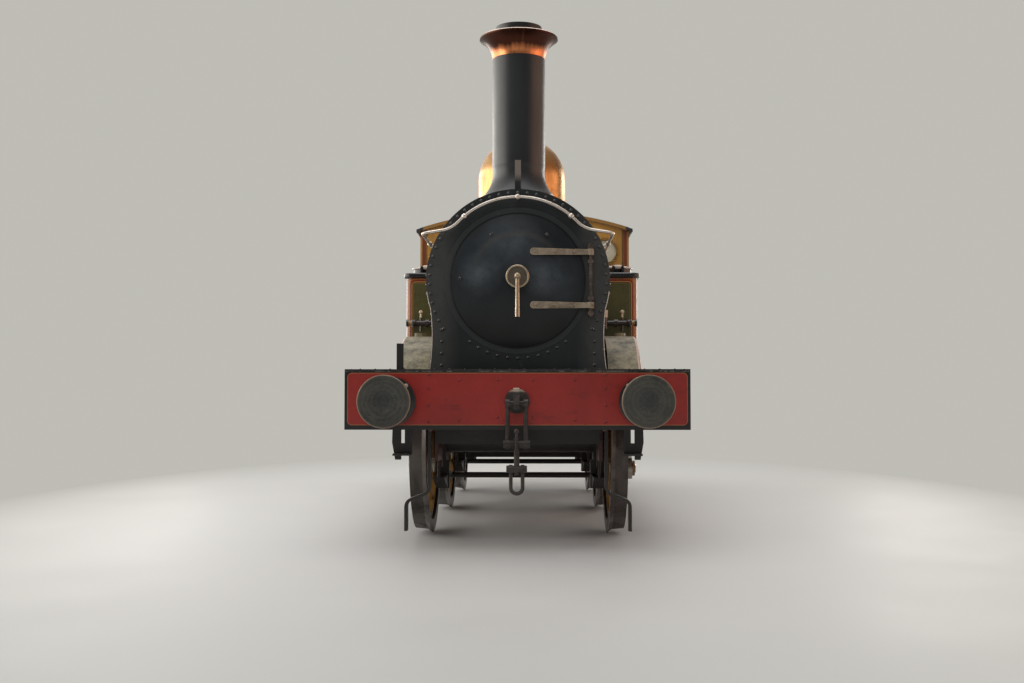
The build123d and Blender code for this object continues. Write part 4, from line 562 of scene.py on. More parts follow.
PLAIN_RED = painted("bolt_crimson", scaled(CRIMSON, 0.6), 0.36, 0.2,
                    worn=(0.42, 0.33, 0.22), dusty=0.05, edge=0.005)
FRAME_PAINT = painted("frame_red_brown", scaled(BROWN_RED, 0.75), 0.42, 0.2,
                      dust=(0.09, 0.07, 0.055), dusty=0.4)
FRAME_BOLTS = painted("frame_bolts", scaled(BROWN_RED, 0.8), 0.40, 0.2,
                      worn=(0.16, 0.12, 0.10), dusty=0.5, edge=0.006)
BOILER_PAINT = painted("boiler_ochre", OCHRE, 0.24, 0.7, boiler_pattern, dusty=0.12)
FIREBOX_PAINT = painted("firebox_ochre", OCHRE, 0.26, 0.6, firebox_pattern, dusty=0.15)
CAB_FRONT_PAINT = painted("cab_front_ochre", OCHRE, 0.24, 0.7, cab_front_pattern, dusty=0.08)
CAB_SIDE_PAINT = painted("cab_side_ochre", OCHRE, 0.24, 0.7, cab_side_pattern, dusty=0.10)
BUNKER_PAINT = painted("bunker_ochre", OCHRE, 0.24, 0.7, bunker_pattern, dusty=0.12)
WHEEL_PAINT = painted("wheel_ochre", scaled(OCHRE, 0.8), 0.34, 0.4, wheel_pattern, dusty=0.45)
OCHRE_RIVETS = painted("rivet_ochre", scaled(OCHRE, 0.85), 0.28, 0.5, dusty=0.15)
TANK_PAINT = painted("tank_olive", OLIVE, 0.26, 0.25, tank_pattern, dusty=0.08, clouds=0.5)
COVER_PAINT = painted("cab_cover_olive", OLIVE, 0.30, 0.4, dusty=0.3)
# The splashers hold a painted reflection on their tops and a painted highlight on their shoulders.
SPLASHER_PAINT_AND_SHEEN = painted("splasher_paint_and_reflection", (0.11, 0.10, 0.07), 0.42, 0.10, splasher_pattern,
                         dusty=0.04, specular=0.22, coat_rough=0.2)
FEED_PAINT = painted("feed_pipe_dark", (0.030, 0.022, 0.026), 0.26, 0.6, feed_pattern,
                     worn=(0.30, 0.22, 0.16), dusty=0.05)
# Pale cream: a painted highlight on the smokebox's flank bead and a painted reflection on the cab's front
# moulding.
CREAM_HIGHLIGHT = painted("pale_highlight_strip", (0.70, 0.59, 0.51), 0.34, 0.4,
                      worn=(0.32, 0.26, 0.21), dusty=0.1, clouds=0.12)
# Pale lids: the pale colour is painted light, standing for their lit faces.
LID_PALE_LIT = painted("filler_lid_pale_lit", (0.56, 0.46, 0.39), 0.32, 0.4,
                    worn=(0.30, 0.24, 0.19), dusty=0.15, clouds=0.2)

COPPER = polished("cap_copper", (0.80, 0.29, 0.12), (0.40, 0.12, 0.05), 0.30, cap_pattern,
                  spread=(0.50, 0.80), grain=(0.2, 0.2, 0.05))
BRASS = polished("dome_brass", (0.60, 0.35, 0.14), (0.36, 0.17, 0.065), 0.24, dome_pattern,
                 spread=(0.40, 0.72), grain=(1.0, 1.0, 0.12))
FITTING_BRASS = polished("fitting_brass", (0.74, 0.50, 0.20), (0.36, 0.22, 0.08), 0.22)
RIM_BRASS = polished("rim_brass", (0.62, 0.40, 0.13), (0.34, 0.19, 0.06), 0.26)
STEEL = polished("rail_steel", (0.80, 0.73, 0.66), (0.60, 0.52, 0.45), 0.36)
HANDLE_STEEL = polished("handle_steel", (0.58, 0.48, 0.36), (0.38, 0.30, 0.21), 0.34, handle_pattern)
ROD_STEEL = polished("rod_steel", (0.58, 0.55, 0.52), (0.34, 0.30, 0.26), 0.26)
WORN_STEEL = polished("strap_steel", (0.40, 0.325, 0.245), (0.15, 0.118, 0.085), 0.42,
                      spread=(0.38, 0.66), metal=0.55, edge=0.010)
HINGE_STEEL = polished("hinge_steel", (0.17, 0.13, 0.105), (0.045, 0.036, 0.030), 0.42,
                       spread=(0.30, 0.62), metal=0.5, edge=0.008)
HOOK_STEEL = polished("hook_steel", (0.060, 0.050, 0.045), (0.020, 0.017, 0.015), 0.36, hook_pattern,
                      metal=0.35, edge=0.008)
HEAD_STEEL = polished("buffer_steel", (0.064, 0.063, 0.054), (0.026, 0.028, 0.028), 0.46, buffer_pattern,
                      metal=0.35)
TYRE_STEEL = polished("tyre_steel", (0.115, 0.100, 0.090), (0.040, 0.032, 0.027), 0.38, metal=0.6)


def window_glass():
    """Smudged glass, a little see-through; its pale yellowish colour is painted light, standing for the
    brightness seen through it.
    """
    glass = Paint("window_glass")
    smudge = glass.noise(6.0, 4.0, 0.6)
    glass.set(
        # Pale yellowish base colour: painted light seen through the pane.
        Base_Color=glass.mix(glass.span(smudge, 0.4, 0.7), (0.82, 0.79, 0.64), (0.70, 0.67, 0.52)),
        Roughness=glass.span(smudge, 0.3, 0.7, 0.02, 0.12),
        Transmission_Weight=0.35,
        IOR=1.45,
    )
    return glass.material


def dial_enamel():
    enamel = Paint("dial_enamel")
    stain = enamel.span(enamel.noise(40.0), 0.4, 0.7)
    enamel.set(
        Base_Color=enamel.mix(stain, (0.78, 0.77, 0.72), (0.70, 0.67, 0.60)),
        Roughness=enamel.span(enamel.noise(9.0), 0.3, 0.7, 0.14, 0.24),
    )
    return enamel.material


GLASS = window_glass()
ENAMEL = dial_enamel()

FINISH = (
    (FRAME_PAINT, "main_frames frame_stretchers"),
    (PLATE_BLACK, "running_plate"),
    (RED, "buffer_beams"),
    (GLOSS_BLACK, "buffer_stocks"),
    (HEAD_STEEL, "buffer_heads"),
    (HOOK_STEEL, "draw_hooks screw_couplings"),
    (BLACK, "smokebox smokebox_front"),
    (DOOR_BLACK, "smokebox_door"),
    (WORN_STEEL, "door_straps"),
    (HANDLE_STEEL, "door_handles"),
    (HINGE_STEEL, "door_hinge"),
    (CHIMNEY_BLACK, "chimney"),
    (COPPER, "chimney_cap"),
    (BOILER_PAINT, "boiler_barrel"),
    (FIREBOX_PAINT, "firebox"),
    (BRASS, "dome"),
    (FITTING_BRASS, "safety_valves backhead_fittings"),
    (TANK_PAINT, "tank_right tank_left"),
    (LID_PALE_LIT, "filler_lid_right filler_lid_left"),
    (CAB_FRONT_PAINT, "cab_front cab_back"),
    (CAB_SIDE_PAINT, "cab_side_right cab_side_left"),
    (ROOF_PAINT, "cab_roof"),
    (BUNKER_PAINT, "coal_bunker"),
    (GLASS, "window_panes"),
    (RIM_BRASS, "window_rims"),
    (SPLASHER_PAINT_AND_SHEEN, "front_splashers"),
    (COVER_PAINT, "cab_splashers"),
    (STEEL, "handrails cab_handrails"),
    (DARK_STEP, "front_steps cab_steps"),
    (FEED_PAINT, "feed_pipes"),
    (LAMP_IRON, "lamp_irons"),
    (WHEEL_PAINT, "leading_wheels driving_wheels trailing_wheels"),
    (TYRE_STEEL, "leading_tyres driving_tyres trailing_tyres"),
    (ROD_STEEL, "coupling_rod_right coupling_rod_left"),
    (IRON, "ashpan cylinder_block cab_controls guard_irons brake_gear axle_boxes_and_springs"),
    (IRON, "firehole_door leading_axle driving_axle trailing_axle"),
)
MATERIALS = {name: material for material, names in FINISH for name in names.split()}

for name, node in NODES.items():
    node.data.materials.clear()
    node.data.materials.append(MATERIALS[name])


class Skin:
    """The surface of a node at rest, found by rays, so that small forms sit on it."""

    def __init__(self, name):
        mesh = NODES[name].data
        points = [vertex.co.copy() for vertex in mesh.vertices]
        self.tree = BVHTree.FromPolygons(points, [tuple(face.vertices) for face in mesh.polygons])

    def touch(self, start, along):
        """Place and outward direction where a ray first meets the surface, or None."""
        along = Vector(along).normalized()
        place, normal = self.tree.ray_cast(Vector(start), along)[:2]
        if place is None:
            return None
        return place, normal if normal.dot(along) < 0 else -normal

    def path(self, starts, along):
        """Places where rays from the starts meet the surface."""
        spots = [self.touch(start, along) for start in starts]
        return [spot[0] for spot in spots if spot]


def circle(centre, u, v, radius, count):
    """Points round a centre, in the plane of two directions."""
    angles = [2 * pi * i / count for i in range(count)]
    return [centre + (u * cos(a) + v * sin(a)) * radius for a in angles]


class Trim:
    """Small forms of one material on one body, gathered into one piece."""

    begun = []
    HEAD = ((1.0, -0.15), (1.0, 0.12), (0.84, 0.42), (0.50, 0.66), (0.16, 0.75))
    NUT = ((1.0, -0.1), (1.0, 0.62), (0.88, 0.75))
    BOLT_END = ((0.50, 0.70), (0.50, 1.00), (0.36, 1.12), (0.12, 1.16))

    def __init__(self, name, material, slot, body="engine"):
        self.name = name
        self.body = body
        self.material = material
        self.slot = slot
        self.mesh = bmesh.new()
        Trim.begun.append(self)

    def loft(self, rings, looped=False):
        """Skin over rings of as many points each; the ends are closed unless it is looped."""
        rows = [[self.mesh.verts.new(point) for point in ring] for ring in rings]
        if looped:
            rows.append(rows[0])
        for low, high in zip(rows, rows[1:]):
            for i in range(len(low)):
                j = (i + 1) % len(low)
                self.mesh.faces.new((low[i], low[j], high[j], high[i]))
        if not looped:
            self.mesh.faces.new(rows[0])
            self.mesh.faces.new(rows[-1])

    def turned(self, place, axis, profile, sides=12, unit=1.0):
        """Turn (radius, rise) pairs, in a unit, about an axis that starts at a place."""
        axis = Vector(axis).normalized()
        across = axis.orthogonal().normalized()
        up = axis.cross(across)
        rings = []
        for radius, rise in profile:
            rings.append(circle(Vector(place) + axis * (unit * rise), across, up, unit * radius, sides))
        self.loft(rings)

    def ring(self, place, axis, radius, bar, count=32):
        """A ring of round bar about an axis."""
        axis = Vector(axis).normalized()
        across = axis.orthogonal().normalized()
        self.tube(circle(Vector(place), across, axis.cross(across), radius, count), bar, looped=True)

    def tube(self, path, radius, sides=8, looped=False):
        """Round bar along a path of points."""
        points = [Vector(point) for point in path]
        count = len(points)
        rings = []
        up = None
        for i, point in enumerate(points):
            before = points[i - 1] if looped or i else point
            after = points[(i + 1) % count] if looped or i < count - 1 else point
            along = (after - before).normalized()
            if up is None:
                up = along.orthogonal().normalized()
            up = (up - along * up.dot(along)).normalized()
            rings.append(circle(point, up, along.cross(up), radius, sides))
        self.loft(rings, looped)

    def cap(self, spot, profile, sides, unit=1.0):
        """A turned form on a spot of a skin; nothing where the ray missed."""
        if spot:
            self.turned(*spot, profile, sides, unit)

    def heads(self, skin, starts, along, radius):
        """Snap rivet heads where rays from the starts meet a skin."""
        for start in starts:
            self.cap(skin.touch(start, along), self.HEAD, 8, radius)

    def nuts(self, skin, starts, along, radius):
        """Hexagon nuts with the rounded ends of their bolts, placed in the same way."""
        for start in starts:
            spot = skin.touch(start, along)
            self.cap(spot, self.NUT, 6, radius)
            self.cap(spot, self.BOLT_END, 8, radius)

    def done(self, corner=42.0):
        """Make the piece and let it ride."""
        bmesh.ops.recalc_face_normals(self.mesh, faces=self.mesh.faces)
        data = bpy.data.meshes.new(self.name)
        self.mesh.to_mesh(data)
        self.mesh.free()
        data.materials.append(self.material)
        data.polygons.foreach_set("use_smooth", [True] * len(data.polygons))
        data.set_sharp_from_angle(angle=radians(corner))
        piece = bpy.data.objects.new(self.name, data)
        bpy.context.scene.collection.objects.link(piece)
        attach(piece, self.body)


def steps(low, high, count):
    """Evenly spaced values with both ends."""
    return [low + (high - low) * i / (count - 1) for i in range(count)]


def rises(low, high, count):
    """Z of evenly spaced heights above the rail."""
    return [above(height) for height in steps(low, high, count)]


def arc(centre, radius, start, end, count):
    """Points of an arc in the plane of two axes, angles in degrees."""
    u, v = centre
    return [(u + radius * cos(radians(a)), v + radius * sin(radians(a))) for a in steps(start, end, count)]


# Directions of rays
BACKWARDS = (0, 1, 0)
FORWARDS = (0, -1, 0)
DOWN = (0, 0, -1)

BOILER = (0.0, BOILER_Z)                         # its middle line, in x and z
# Profiles of turned forms: radius and rise in metres
TUBE_END = ((0.0255, -0.001), (0.0255, 0.006), (0.0235, 0.008), (0.0205, 0.007), (0.0195, 0.001))
BLAST_PIPE = ((0.125, 0.0), (0.125, 0.016), (0.082, 0.022), (0.078, 0.060), (0.074, 0.380), (0.060, 0.480),
              (0.058, 0.500), (0.068, 0.502), (0.068, 0.516), (0.048, 0.518), (0.046, 0.440))
STUD = ((0.0125, -0.002), (0.0125, 0.006), (0.0075, 0.010), (0.0075, 0.022), (0.0035, 0.027))
AXLE_END = ((0.072, -0.002), (0.072, 0.004), (0.066, 0.007), (0.020, 0.007), (0.010, 0.002))
PIN_CAP = ((0.038, -0.002), (0.038, 0.004), (0.031, 0.009), (0.012, 0.010))
DIAL = ((0.060, -0.001), (0.060, 0.0015), (0.056, 0.0022), (0.010, 0.0024))
POINTER_HUB = ((0.006, 0), (0.006, 0.003), (0.003, 0.004))
# Section of the mouldings on the cab's front, in y and z
MOULDING = ((0.002, -0.022), (-0.010, -0.022), (-0.016, -0.014), (-0.016, 0.014), (-0.010, 0.022),
            (0.002, 0.022))


def flank(height):
    """Half the smokebox's width at a height above the rail, down to the plate."""
    waist = 1.680
    foot = 1.234
    narrow = 0.640
    if height >= waist:
        return sqrt(SMOKEBOX_RADIUS**2 - (height - (BOILER_Z - FLANGE)) ** 2)
    share = (height - foot) / (waist - foot)
    straight = narrow + (sqrt(SMOKEBOX_RADIUS**2 - 0.2**2) - narrow) * share
    return straight - 0.016 * (1 - (2 * share - 1) ** 2)


def smokebox_trim():
    """Rivets of the front plate and the wrapper, and the bead down both flanks, painted pale as a
    highlight.
    """
    spots = arc(BOILER, 0.638, -33.0, 213.0, 41) + arc(BOILER, 0.560, 232.0, 308.0, 11)
    for side in (-1, 1):
        spots += [(side * 0.550, z) for z in rises(1.525, 1.270, 4)]
    heads = Trim("smokebox_front_rivets", RIVET_BLACK, "black_paint")
    starts = [(x, SMOKEBOX_FACE - 0.1, z) for x, z in spots]
    heads.heads(Skin("smokebox_front"), starts, BACKWARDS, 0.0128)

    # The bead's pale colour is a painted highlight along the flank's edge.
    bead = Trim("smokebox_flank_bead", CREAM_HIGHLIGHT, "steel")
    for side in (-1, 1):
        heights = steps(1.800, 1.238, 24)
        bead.tube([(side * (flank(h) - 0.003), SMOKEBOX_FACE + 0.002, above(h)) for h in heights], 0.0032)

    outside = 0.8
    radius = 0.0085
    wrapper = Skin("smokebox")
    heads = Trim("smokebox_wrapper_rivets", RIVET_BLACK, "black_paint")
    for y in (SMOKEBOX_FACE + 0.042, SMOKEBOX_BACK - 0.030):
        for x, z in arc(BOILER, outside, -14.0, 194.0, 36):
            heads.heads(wrapper, [(x, y, z)], (-x, 0, BOILER_Z - z), radius)
        for side in (-1, 1):
            starts = [(side * outside, y, z) for z in rises(1.640, 1.300, 5)]
            heads.heads(wrapper, starts, (-side, 0, 0), radius)
    for side in (-1, 1):
        along = steps(SMOKEBOX_FACE + 0.11, SMOKEBOX_BACK - 0.10, 7)
        heads.heads(wrapper, [(side * outside, y, above(1.290)) for y in along], (-side, 0, 0), radius)


def smokebox_inside():
    """Seen through the open door: the tube plate with its fire tubes, and the blast pipe."""
    wall = 0.012
    floor = PLATE_TOP + 0.014
    face = SMOKEBOX_BACK - 0.024
    flanks = [(flank(z - FLANGE) - wall, z) for z in steps(floor, above(1.670), 8)]
    outline = flanks + arc(BOILER, SMOKEBOX_RADIUS - wall, -15.0, 195.0, 48)
    outline += [(-x, z) for x, z in reversed(flanks)]
    plate = Trim("smokebox_tube_plate", SOOT, "black_paint")
    plate.loft([[(x, y, z) for x, z in outline] for y in (face, SMOKEBOX_BACK - 0.010)])

    pitch = 0.074
    reach = 0.52
    ends = Trim("fire_tube_ends", TUBE_RUST, "steel")
    for row in range(-7, 4):
        z = BOILER_Z + row * pitch * 0.866
        for column in range(-8, 9):
            x = (column + 0.5 * (row % 2)) * pitch
            if x * x + (z - BOILER_Z) ** 2 < reach**2:
                ends.turned((x, face, z), FORWARDS, TUBE_END)

    pipe = Trim("blast_pipe", SOOT, "black_paint")
    pipe.turned((0.0, CHIMNEY_Y, PLATE_TOP + 0.015), (0, 0, 1), BLAST_PIPE, 28)


def door_trim():
    """Three studs in the door and the bolts through its straps."""
    ahead = SMOKEBOX_FACE - 0.3
    door = Skin("smokebox_door")
    studs = Trim("door_studs", RIVET_BLACK, "black_paint", "smokebox_door")
    for x, height in ((-0.188, 2.211), (0.209, 2.208), (-0.418, 1.891)):
        studs.cap(door.touch((x, ahead, above(height)), BACKWARDS), STUD, 10)
    bolts = Trim("strap_bolts", WORN_STEEL, "steel", "smokebox_door")
    starts = [(x, ahead, above(height)) for height in (1.698, 2.082) for x in (0.130, 0.262, 0.410)]
    bolts.heads(Skin("door_straps"), starts, BACKWARDS, 0.0090)


def beam_trim():
    """Bolt heads in the beams, nuts of the buffer stocks and of the draw hooks' collars."""
    beams = Skin("buffer_beams")
    stocks = Skin("buffer_stocks")
    hooks = Skin("draw_hooks")
    heads = Trim("beam_bolts", PLAIN_RED, "red_paint")
    nuts = Trim("buffer_stock_nuts", HOOK_STEEL, "dark_iron")
    spots = [(-0.133, 1.159), (0.108, 1.159), (-0.133, 0.900), (0.108, 0.900)]
    for side in (-1, 1):
        spots += [(side * 0.610, height) for height in (0.870, 0.985, 1.100, 1.195)]
        spots += [(side * 0.400, 1.158), (side * 0.400, 0.880)]
    for end in (-1, 1):
        beyond = end * 4.6
        inwards = (0, -end, 0)
        heads.heads(beams, [(x, beyond, above(height)) for x, height in spots], inwards, 0.0095)
        for side in (-1, 1):
            corners = arc((side * BUFFER_X, BUFFER_Z), 0.149, 45.0, 315.0, 4)
            nuts.nuts(stocks, [(x, beyond, z) for x, z in corners], inwards, 0.0165)
        corners = arc((0.0, BUFFER_Z), 0.068, 45.0, 315.0, 4)
        nuts.nuts(hooks, [(x, beyond, z) for x, z in corners], inwards, 0.0100)


def plate_trim():
    """Small heads along the edges of the running plate."""
    high = PLATE_TOP + 0.1
    plate = Skin("running_plate")
    heads = Trim("running_plate_rivets", DARK_STEP, "black_paint")
    for side in (-1, 1):
        starts = [(side * 1.170, y, high) for y in steps(-3.50, 3.50, 36)]
        for x in steps(0.05, 1.09, 11):
            starts += [(side * x, -3.625, high), (side * x, 3.625, high)]
        heads.heads(plate, starts, DOWN, 0.0065)


def frame_trim():
    """Bolts of the horn guides and rows of rivets along the main frames."""
    outside = 0.66
    frames = Skin("main_frames")
    heads = Trim("main_frame_bolts", FRAME_BOLTS, "frame_paint")
    for side in (-1, 1):
        starts = []
        for y in WHEELSETS.values():
            for offset in (-0.205, -0.160, 0.160, 0.205):
                starts += [(side * outside, y + offset, z) for z in rises(0.540, 0.840, 5)]
        heads.heads(frames, starts, (-side, 0, 0), 0.0095)
        starts = [(side * outside, y, above(1.130)) for y in steps(-3.40, 3.40, 49)]
        heads.heads(frames, starts, (-side, 0, 0), 0.0085)


def wheel_trim():
    """Axle ends, the caps of the crank pins and the bolts through the rims."""
    outside = 1.1
    throw = 0.280
    rim = 0.588
    pins = {1: radians(-135.0), -1: radians(-45.0)}    # where the crank pins stand at rest
    turns = [2 * pi * (i + 0.5) / 14 for i in range(14)]
    for name, y in WHEELSETS.items():
        body = f"{name}_wheelset"
        wheels = Skin(f"{name}_wheels")
        axle = Skin(f"{name}_axle")
        bright = Trim(f"{name}_axle_ends", ROD_STEEL, "steel", body)
        bolts = Trim(f"{name}_rim_bolts", IRON, "dark_iron", body)
        for side in (-1, 1):
            x = side * outside
            inwards = (-side, 0, 0)
            bright.cap(axle.touch((x, y, WHEEL_Z), inwards), AXLE_END, 24)
            pin = (x, y + throw * cos(pins[side]), WHEEL_Z + throw * sin(pins[side]))
            bright.cap(wheels.touch(pin, inwards), PIN_CAP, 20)
            starts = [(x, y + rim * cos(turn), WHEEL_Z + rim * sin(turn)) for turn in turns]
            bolts.heads(wheels, starts, inwards, 0.0110)


def boiler_trim():
    """Screws round the foot of the dome."""
    middle = (DOME_LOW.y + DOME_HIGH.y) / 2
    turns = [2 * pi * i / 28 for i in range(28)]
    starts = [(0.424 * cos(turn), middle + 0.372 * sin(turn), DOME_HIGH.z + 0.2) for turn in turns]
    screws = Trim("dome_screws", FITTING_BRASS, "brass")
    screws.heads(Skin("dome"), starts, DOWN, 0.0065)


def backhead_trim():
    """Rivets of the backhead, and the two gauges with dials, marks, pointers and rims."""
    behind = 1.6
    firebox = Skin("firebox")
    heads = Trim("backhead_rivets", RIVET_BLACK, "black_paint")
    spots = arc(BOILER, 0.590, -8.0, 188.0, 30)
    for side in (-1, 1):
        spots += [(side * 0.570, z) for z in rises(1.760, 1.300, 7)]
    heads.heads(firebox, [(x, behind, z) for x, z in spots], FORWARDS, 0.0100)
    doorway = arc((0.0, above(1.560)), 0.215, 20.0, 160.0, 6)
    heads.heads(firebox, [(x, behind, z) for x, z in doorway], FORWARDS, 0.0090)

    fittings = Skin("backhead_fittings")
    faces = Trim("gauge_dials", ENAMEL, "steel")
    marks = Trim("gauge_marks", RIVET_BLACK, "black_paint")
    rims = Trim("gauge_rims", FITTING_BRASS, "brass")
    for side in (-1, 1):
        centre = x, z = (side * 0.150, above(2.360))
        spot = fittings.touch((x, behind, z), FORWARDS)
        if spot:
            face = spot[0].y
            faces.turned(spot[0], BACKWARDS, DIAL, 32)
            rims.ring((x, face + 0.002, z), BACKWARDS, 0.064, 0.0055)
            for near, far in zip(arc(centre, 0.044, -45, 225, 11), arc(centre, 0.053, -45, 225, 11)):
                marks.tube([(u, face + 0.0028, v) for u, v in (near, far)], 0.0011, 5)
            tip = arc(centre, 0.040, 215, 225, 2)[0]
            marks.tube([(u, face + 0.0040, v) for u, v in (centre, tip)], 0.0014, 5)
            marks.turned((x, face + 0.002, z), BACKWARDS, POINTER_HUB)


def cab_trim():
    """Beading round the doorways, mouldings beside the windows and strips over the roof."""
    bead = Trim("doorway_beading", RIM_BRASS, "brass")
    outline = [(1.250, PLATE_TOP + 0.010), (1.250, 2.098), (1.230, 2.098)]
    outline += arc((1.230, 2.298), 0.200, 270.0, 180.0, 9) + arc((1.230, 2.438), 0.200, 180.0, 90.0, 9)
    outline += arc((1.970, 2.438), 0.200, 90.0, 0.0, 9) + arc((1.970, 2.298), 0.200, 0.0, -81.0, 8)
    outline += [(2.000, 2.090), (2.000, PLATE_TOP + 0.010)]
    for side in (-1, 1):
        bead.tube([(side * (CAB_HIGH.x + 0.001), y, z) for y, z in outline], 0.0080)

    # The moulding's pale colour is a painted reflection.
    strip = Trim("cab_front_moulding", CREAM_HIGHLIGHT, "ochre_paint")
    for side in (-1, 1):
        ends = [side * x for x in (0.470, 1.068)]
        strip.loft([[(x, CAB_LOW.y + y, above(2.352) + z) for y, z in MOULDING] for x in ends])

    bar = 0.0075
    high = ROOF_HIGH.z + 0.5
    roof = Skin("cab_roof")
    ribs = Trim("cab_roof_strips", ROOF_PAINT, "black_paint")
    for y in (ROOF_LOW.y + 0.030, (CAB_LOW.y + CAB_HIGH.y) / 2, ROOF_HIGH.y - 0.030):
        ribs.tube(roof.path([(x, y, high) for x in steps(-1.095, 1.095, 29)], DOWN), bar)
    for side in (-1, 1):
        ribs.tube(roof.path([(side * 0.985, y, high) for y in steps(0.72, 2.48, 9)], DOWN), bar)


def cab_fastenings():
    """Rivets of the cab's sides and the bunker, and the screws of the window rims."""
    outside = 1.3
    behind = 4.0
    radius = 0.0055
    heads = Trim("cab_rivets", OCHRE_RIVETS, "ochre_paint")
    for side, name in ((1, "cab_side_right"), (-1, "cab_side_left")):
        starts = []
        for y in (CAB_LOW.y + 0.020, CAB_HIGH.y - 0.020):
            starts += [(side * outside, y, z) for z in rises(1.300, 2.660, 16)]
        heads.heads(Skin(name), starts, (-side, 0, 0), radius)
    bunker = Skin("coal_bunker")
    for side in (-1, 1):
        corner = BUNKER_LOW.y + 0.022
        starts = [(side * outside, corner, z) for z in rises(1.300, 2.040, 9)]
        heads.heads(bunker, starts, (-side, 0, 0), radius)
    heads.heads(bunker, [(x, behind, PLATE_TOP + 0.020) for x in steps(-1.00, 1.00, 17)], FORWARDS, radius)

    rims = Skin("window_rims")
    low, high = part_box("window_rims")
    radius = (high.z - low.z) / 2
    middle = (high.z + low.z) / 2
    centre = high.x - radius
    cab_y = 1.6
    screws = Trim("window_screws", FITTING_BRASS, "brass")
    for end in (-1, 1):
        for side in (-1, 1):
            spots = arc((side * centre, middle), radius - 0.012, 0.0, 315.0, 8)
            screws.heads(rims, [(x, cab_y + end * 4.0, z) for x, z in spots], (0, -end, 0), 0.0045)


def bunker_trim():
    """Half-round beading along the bunker's top edge."""
    edge = Trim("bunker_beading", RIM_BRASS, "brass")
    corner = 0.052
    start = BUNKER_LOW.y + 0.012
    x = BUNKER_HIGH.x - 0.008
    y = BUNKER_HIGH.y - 0.008
    path = [(x, start)]
    path += arc((x - corner, y - corner), corner, 0.0, 90.0, 7)
    path += arc((-x + corner, y - corner), corner, 90.0, 180.0, 7)
    path.append((-x, start))
    edge.tube([(u, v, BUNKER_HIGH.z) for u, v in path], 0.0095)


def tank_trim():
    """Rivets along the outer and front edges of the tanks' tops."""
    over = 2.4
    for side, name in ((1, "tank_right"), (-1, "tank_left")):
        starts = [(side * 0.985, y, over) for y in steps(TANK_FRONT + 0.10, CAB_LOW.y - 0.06, 19)]
        starts += [(side * x, TANK_FRONT + 0.03, over) for x in steps(0.700, 0.930, 4)]
        heads = Trim(f"{name}_rivets", RIVET_BLACK, "black_paint")
        heads.heads(Skin(name), starts, DOWN, 0.0055)


smokebox_trim()
smokebox_inside()
door_trim()
beam_trim()
plate_trim()
frame_trim()
wheel_trim()
boiler_trim()
backhead_trim()
cab_trim()
cab_fastenings()
bunker_trim()
tank_trim()
for trim in Trim.begun:
    trim.done()

BACKGROUND = (0.515, 0.505, 0.465)
WHITE = (1.0, 1.0, 1.0)
WARM_WHITE = (1.0, 0.96, 0.90)


def make_camera():
    data = bpy.data.cameras.new("photo_camera")
    camera = bpy.data.objects.new("photo_camera", data)
    bpy.context.scene.collection.objects.link(camera)
    data.sensor_width = SENSOR_WIDTH
    data.lens = FOCAL_PIXELS * SENSOR_WIDTH / PHOTO_WIDTH
    data.clip_end = 200.0
    camera.location = (CAMERA_X, BUFFER_FACE - CAMERA_BEFORE_BUFFERS, above(CAMERA_ABOVE_RAIL))
    yaw = radians(CAMERA_YAW)
    pitch = radians(CAMERA_PITCH)
    forward = Vector((-sin(yaw) * cos(pitch), cos(yaw) * cos(pitch), sin(pitch)))
    camera.rotation_euler = forward.to_track_quat("-Z", "Y").to_euler()
    bpy.context.scene.camera = camera


def make_world():
    """A pale hall: even to the camera, bright on the left and behind in reflections, soft as light."""
    world = bpy.data.worlds.new("studio")
    bpy.context.scene.world = world
    world.use_nodes = True
    hall = Nodes(world.node_tree)
    output = hall.add("ShaderNodeOutputWorld")
    path = hall.add("ShaderNodeLightPath")
    x, y, z = hall.split(hall.add("ShaderNodeTexCoord").outputs["Generated"])
    lean = hall.math("ADD", hall.times(x, -0.75), hall.times(y, 0.66))
    overhead = hall.times((z, 0.35, 0.90, 0.0, 0.7), (x, 0.5, -0.4, 0.5, 1.0))
    level = hall.math("ADD", hall.span(lean, 0.05, 0.60, 0.10, 0.95), overhead)
    aside = hall.times((x, 0.50, 0.90), (hall.size(y), 0.75, 0.40))
    grey = hall.mix(hall.math("MINIMUM", level, 1.0), (0.0, 0.0, 0.0), (1.0, 0.98, 0.94))
    colour = hall.mix(hall.times(aside, 0.8), grey, (0.34, 0.19, 0.13))
    shades = []
    for tone, strength in (((0.95, 0.97, 1.0), 0.30), (colour, 1.0), (BACKGROUND, 1.0)):
        shades.append(hall.add("ShaderNodeBackground", (tone, strength)).outputs[0])
    light, reflection, backdrop = shades
    straight = hall.math("MAXIMUM", path.outputs["Is Camera Ray"], path.outputs["Is Transmission Ray"])
    mirrored = hall.blend(path.outputs["Is Glossy Ray"], light, reflection)
    hall.feed(output.inputs[0], hall.blend(straight, mirrored, backdrop))


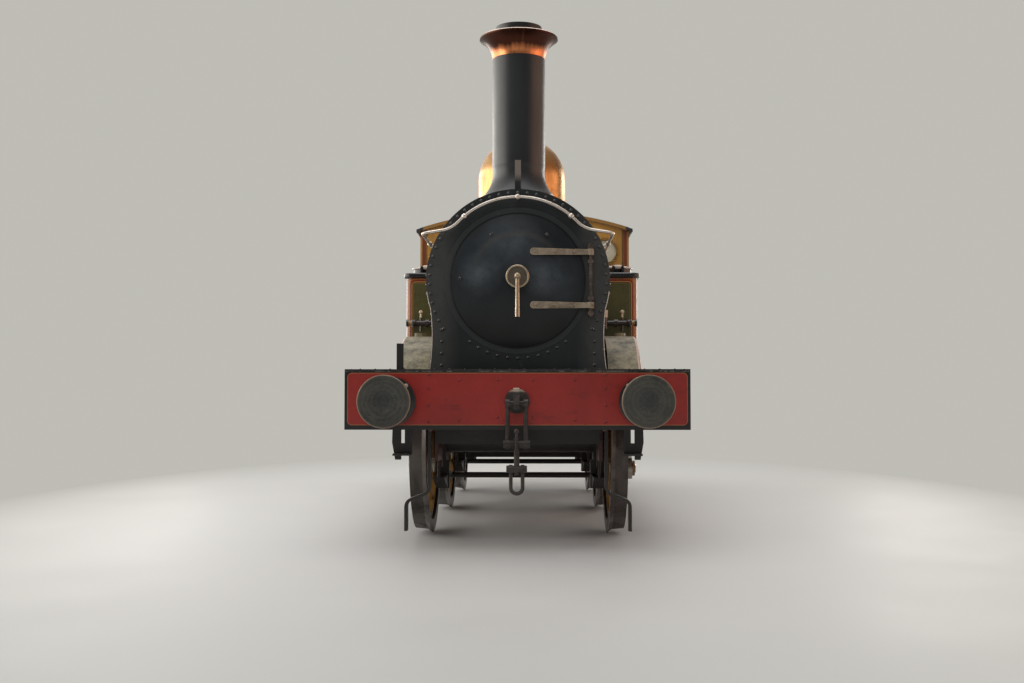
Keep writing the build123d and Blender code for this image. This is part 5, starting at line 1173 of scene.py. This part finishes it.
def make_lamp(name, place, aim, size, watts, colour=WHITE, mirrored=True):
    """Soft area light; one that isn't mirrored leaves no shine of its own."""
    data = bpy.data.lights.new(name, "AREA")
    data.shape = "RECTANGLE"
    data.size, data.size_y = size
    data.energy = watts
    data.color = colour
    lamp = bpy.data.objects.new(name, data)
    bpy.context.scene.collection.objects.link(lamp)
    lamp.visible_glossy = mirrored
    lamp.location = place
    lamp.rotation_euler = (Vector(aim) - Vector(place)).to_track_quat("-Z", "Y").to_euler()


def make_floor():
    """Pale floor that fades into the background, sooner across the engine than along it."""
    mesh = bpy.data.meshes.new("studio_floor")
    reach = 60.0
    corners = [(-reach, -reach, 0), (reach, -reach, 0), (reach, reach, 0), (-reach, reach, 0)]
    mesh.from_pydata(corners, [], [(0, 1, 2, 3)])
    floor = bpy.data.objects.new("studio_floor", mesh)
    bpy.context.scene.collection.objects.link(floor)
    paint = Paint("studio_floor")
    cloud = paint.noise(0.6, 4.0)
    paint.set(
        Base_Color=paint.mix(paint.span(cloud, 0.3, 0.7), (0.62, 0.62, 0.61), (0.67, 0.67, 0.66)),
        Roughness=paint.span(cloud, 0.3, 0.7, 0.45, 0.55),
    )
    glow = paint.add("ShaderNodeEmission", (BACKGROUND,))
    lengthwise = paint.times(paint.y, 0.55)
    fade = paint.span(paint.away(paint.x, lengthwise, 0.0, 0.0), 2.2, 5.4)
    paint.feed(paint.surface, paint.blend(fade, paint.shader.outputs[0], glow.outputs[0]))
    mesh.materials.append(paint.material)


make_camera()
make_world()
make_floor()
make_lamp("left_windows", (-9.5, -0.7, 4.4), (0, -0.7, 2.0), (17.0, 5.5), 620, (1.0, 0.94, 0.86))
make_lamp("right_windows", (9.5, -3.0, 4.0), (0, -1.5, 2.0), (11.0, 4.5), 190, (1.0, 0.60, 0.43))
make_lamp("front_fill", (-3.0, -14.0, 8.5), (0, -2.0, 1.8), (10.0, 6.0), 330, mirrored=False)
make_lamp("roof_light", (0.0, -1.0, 9.0), (0, 0, 1.5), (6.0, 12.0), 280)
make_lamp("back_left_window", (-7.5, 8.5, 4.0), (0, 0, 2.2), (4.5, 5.0), 240, WARM_WHITE)
make_lamp("back_right_window", (7.5, 8.5, 4.0), (0, 0, 2.2), (4.5, 5.0), 330, WARM_WHITE)

bpy.context.scene.view_settings.view_transform = "Standard"
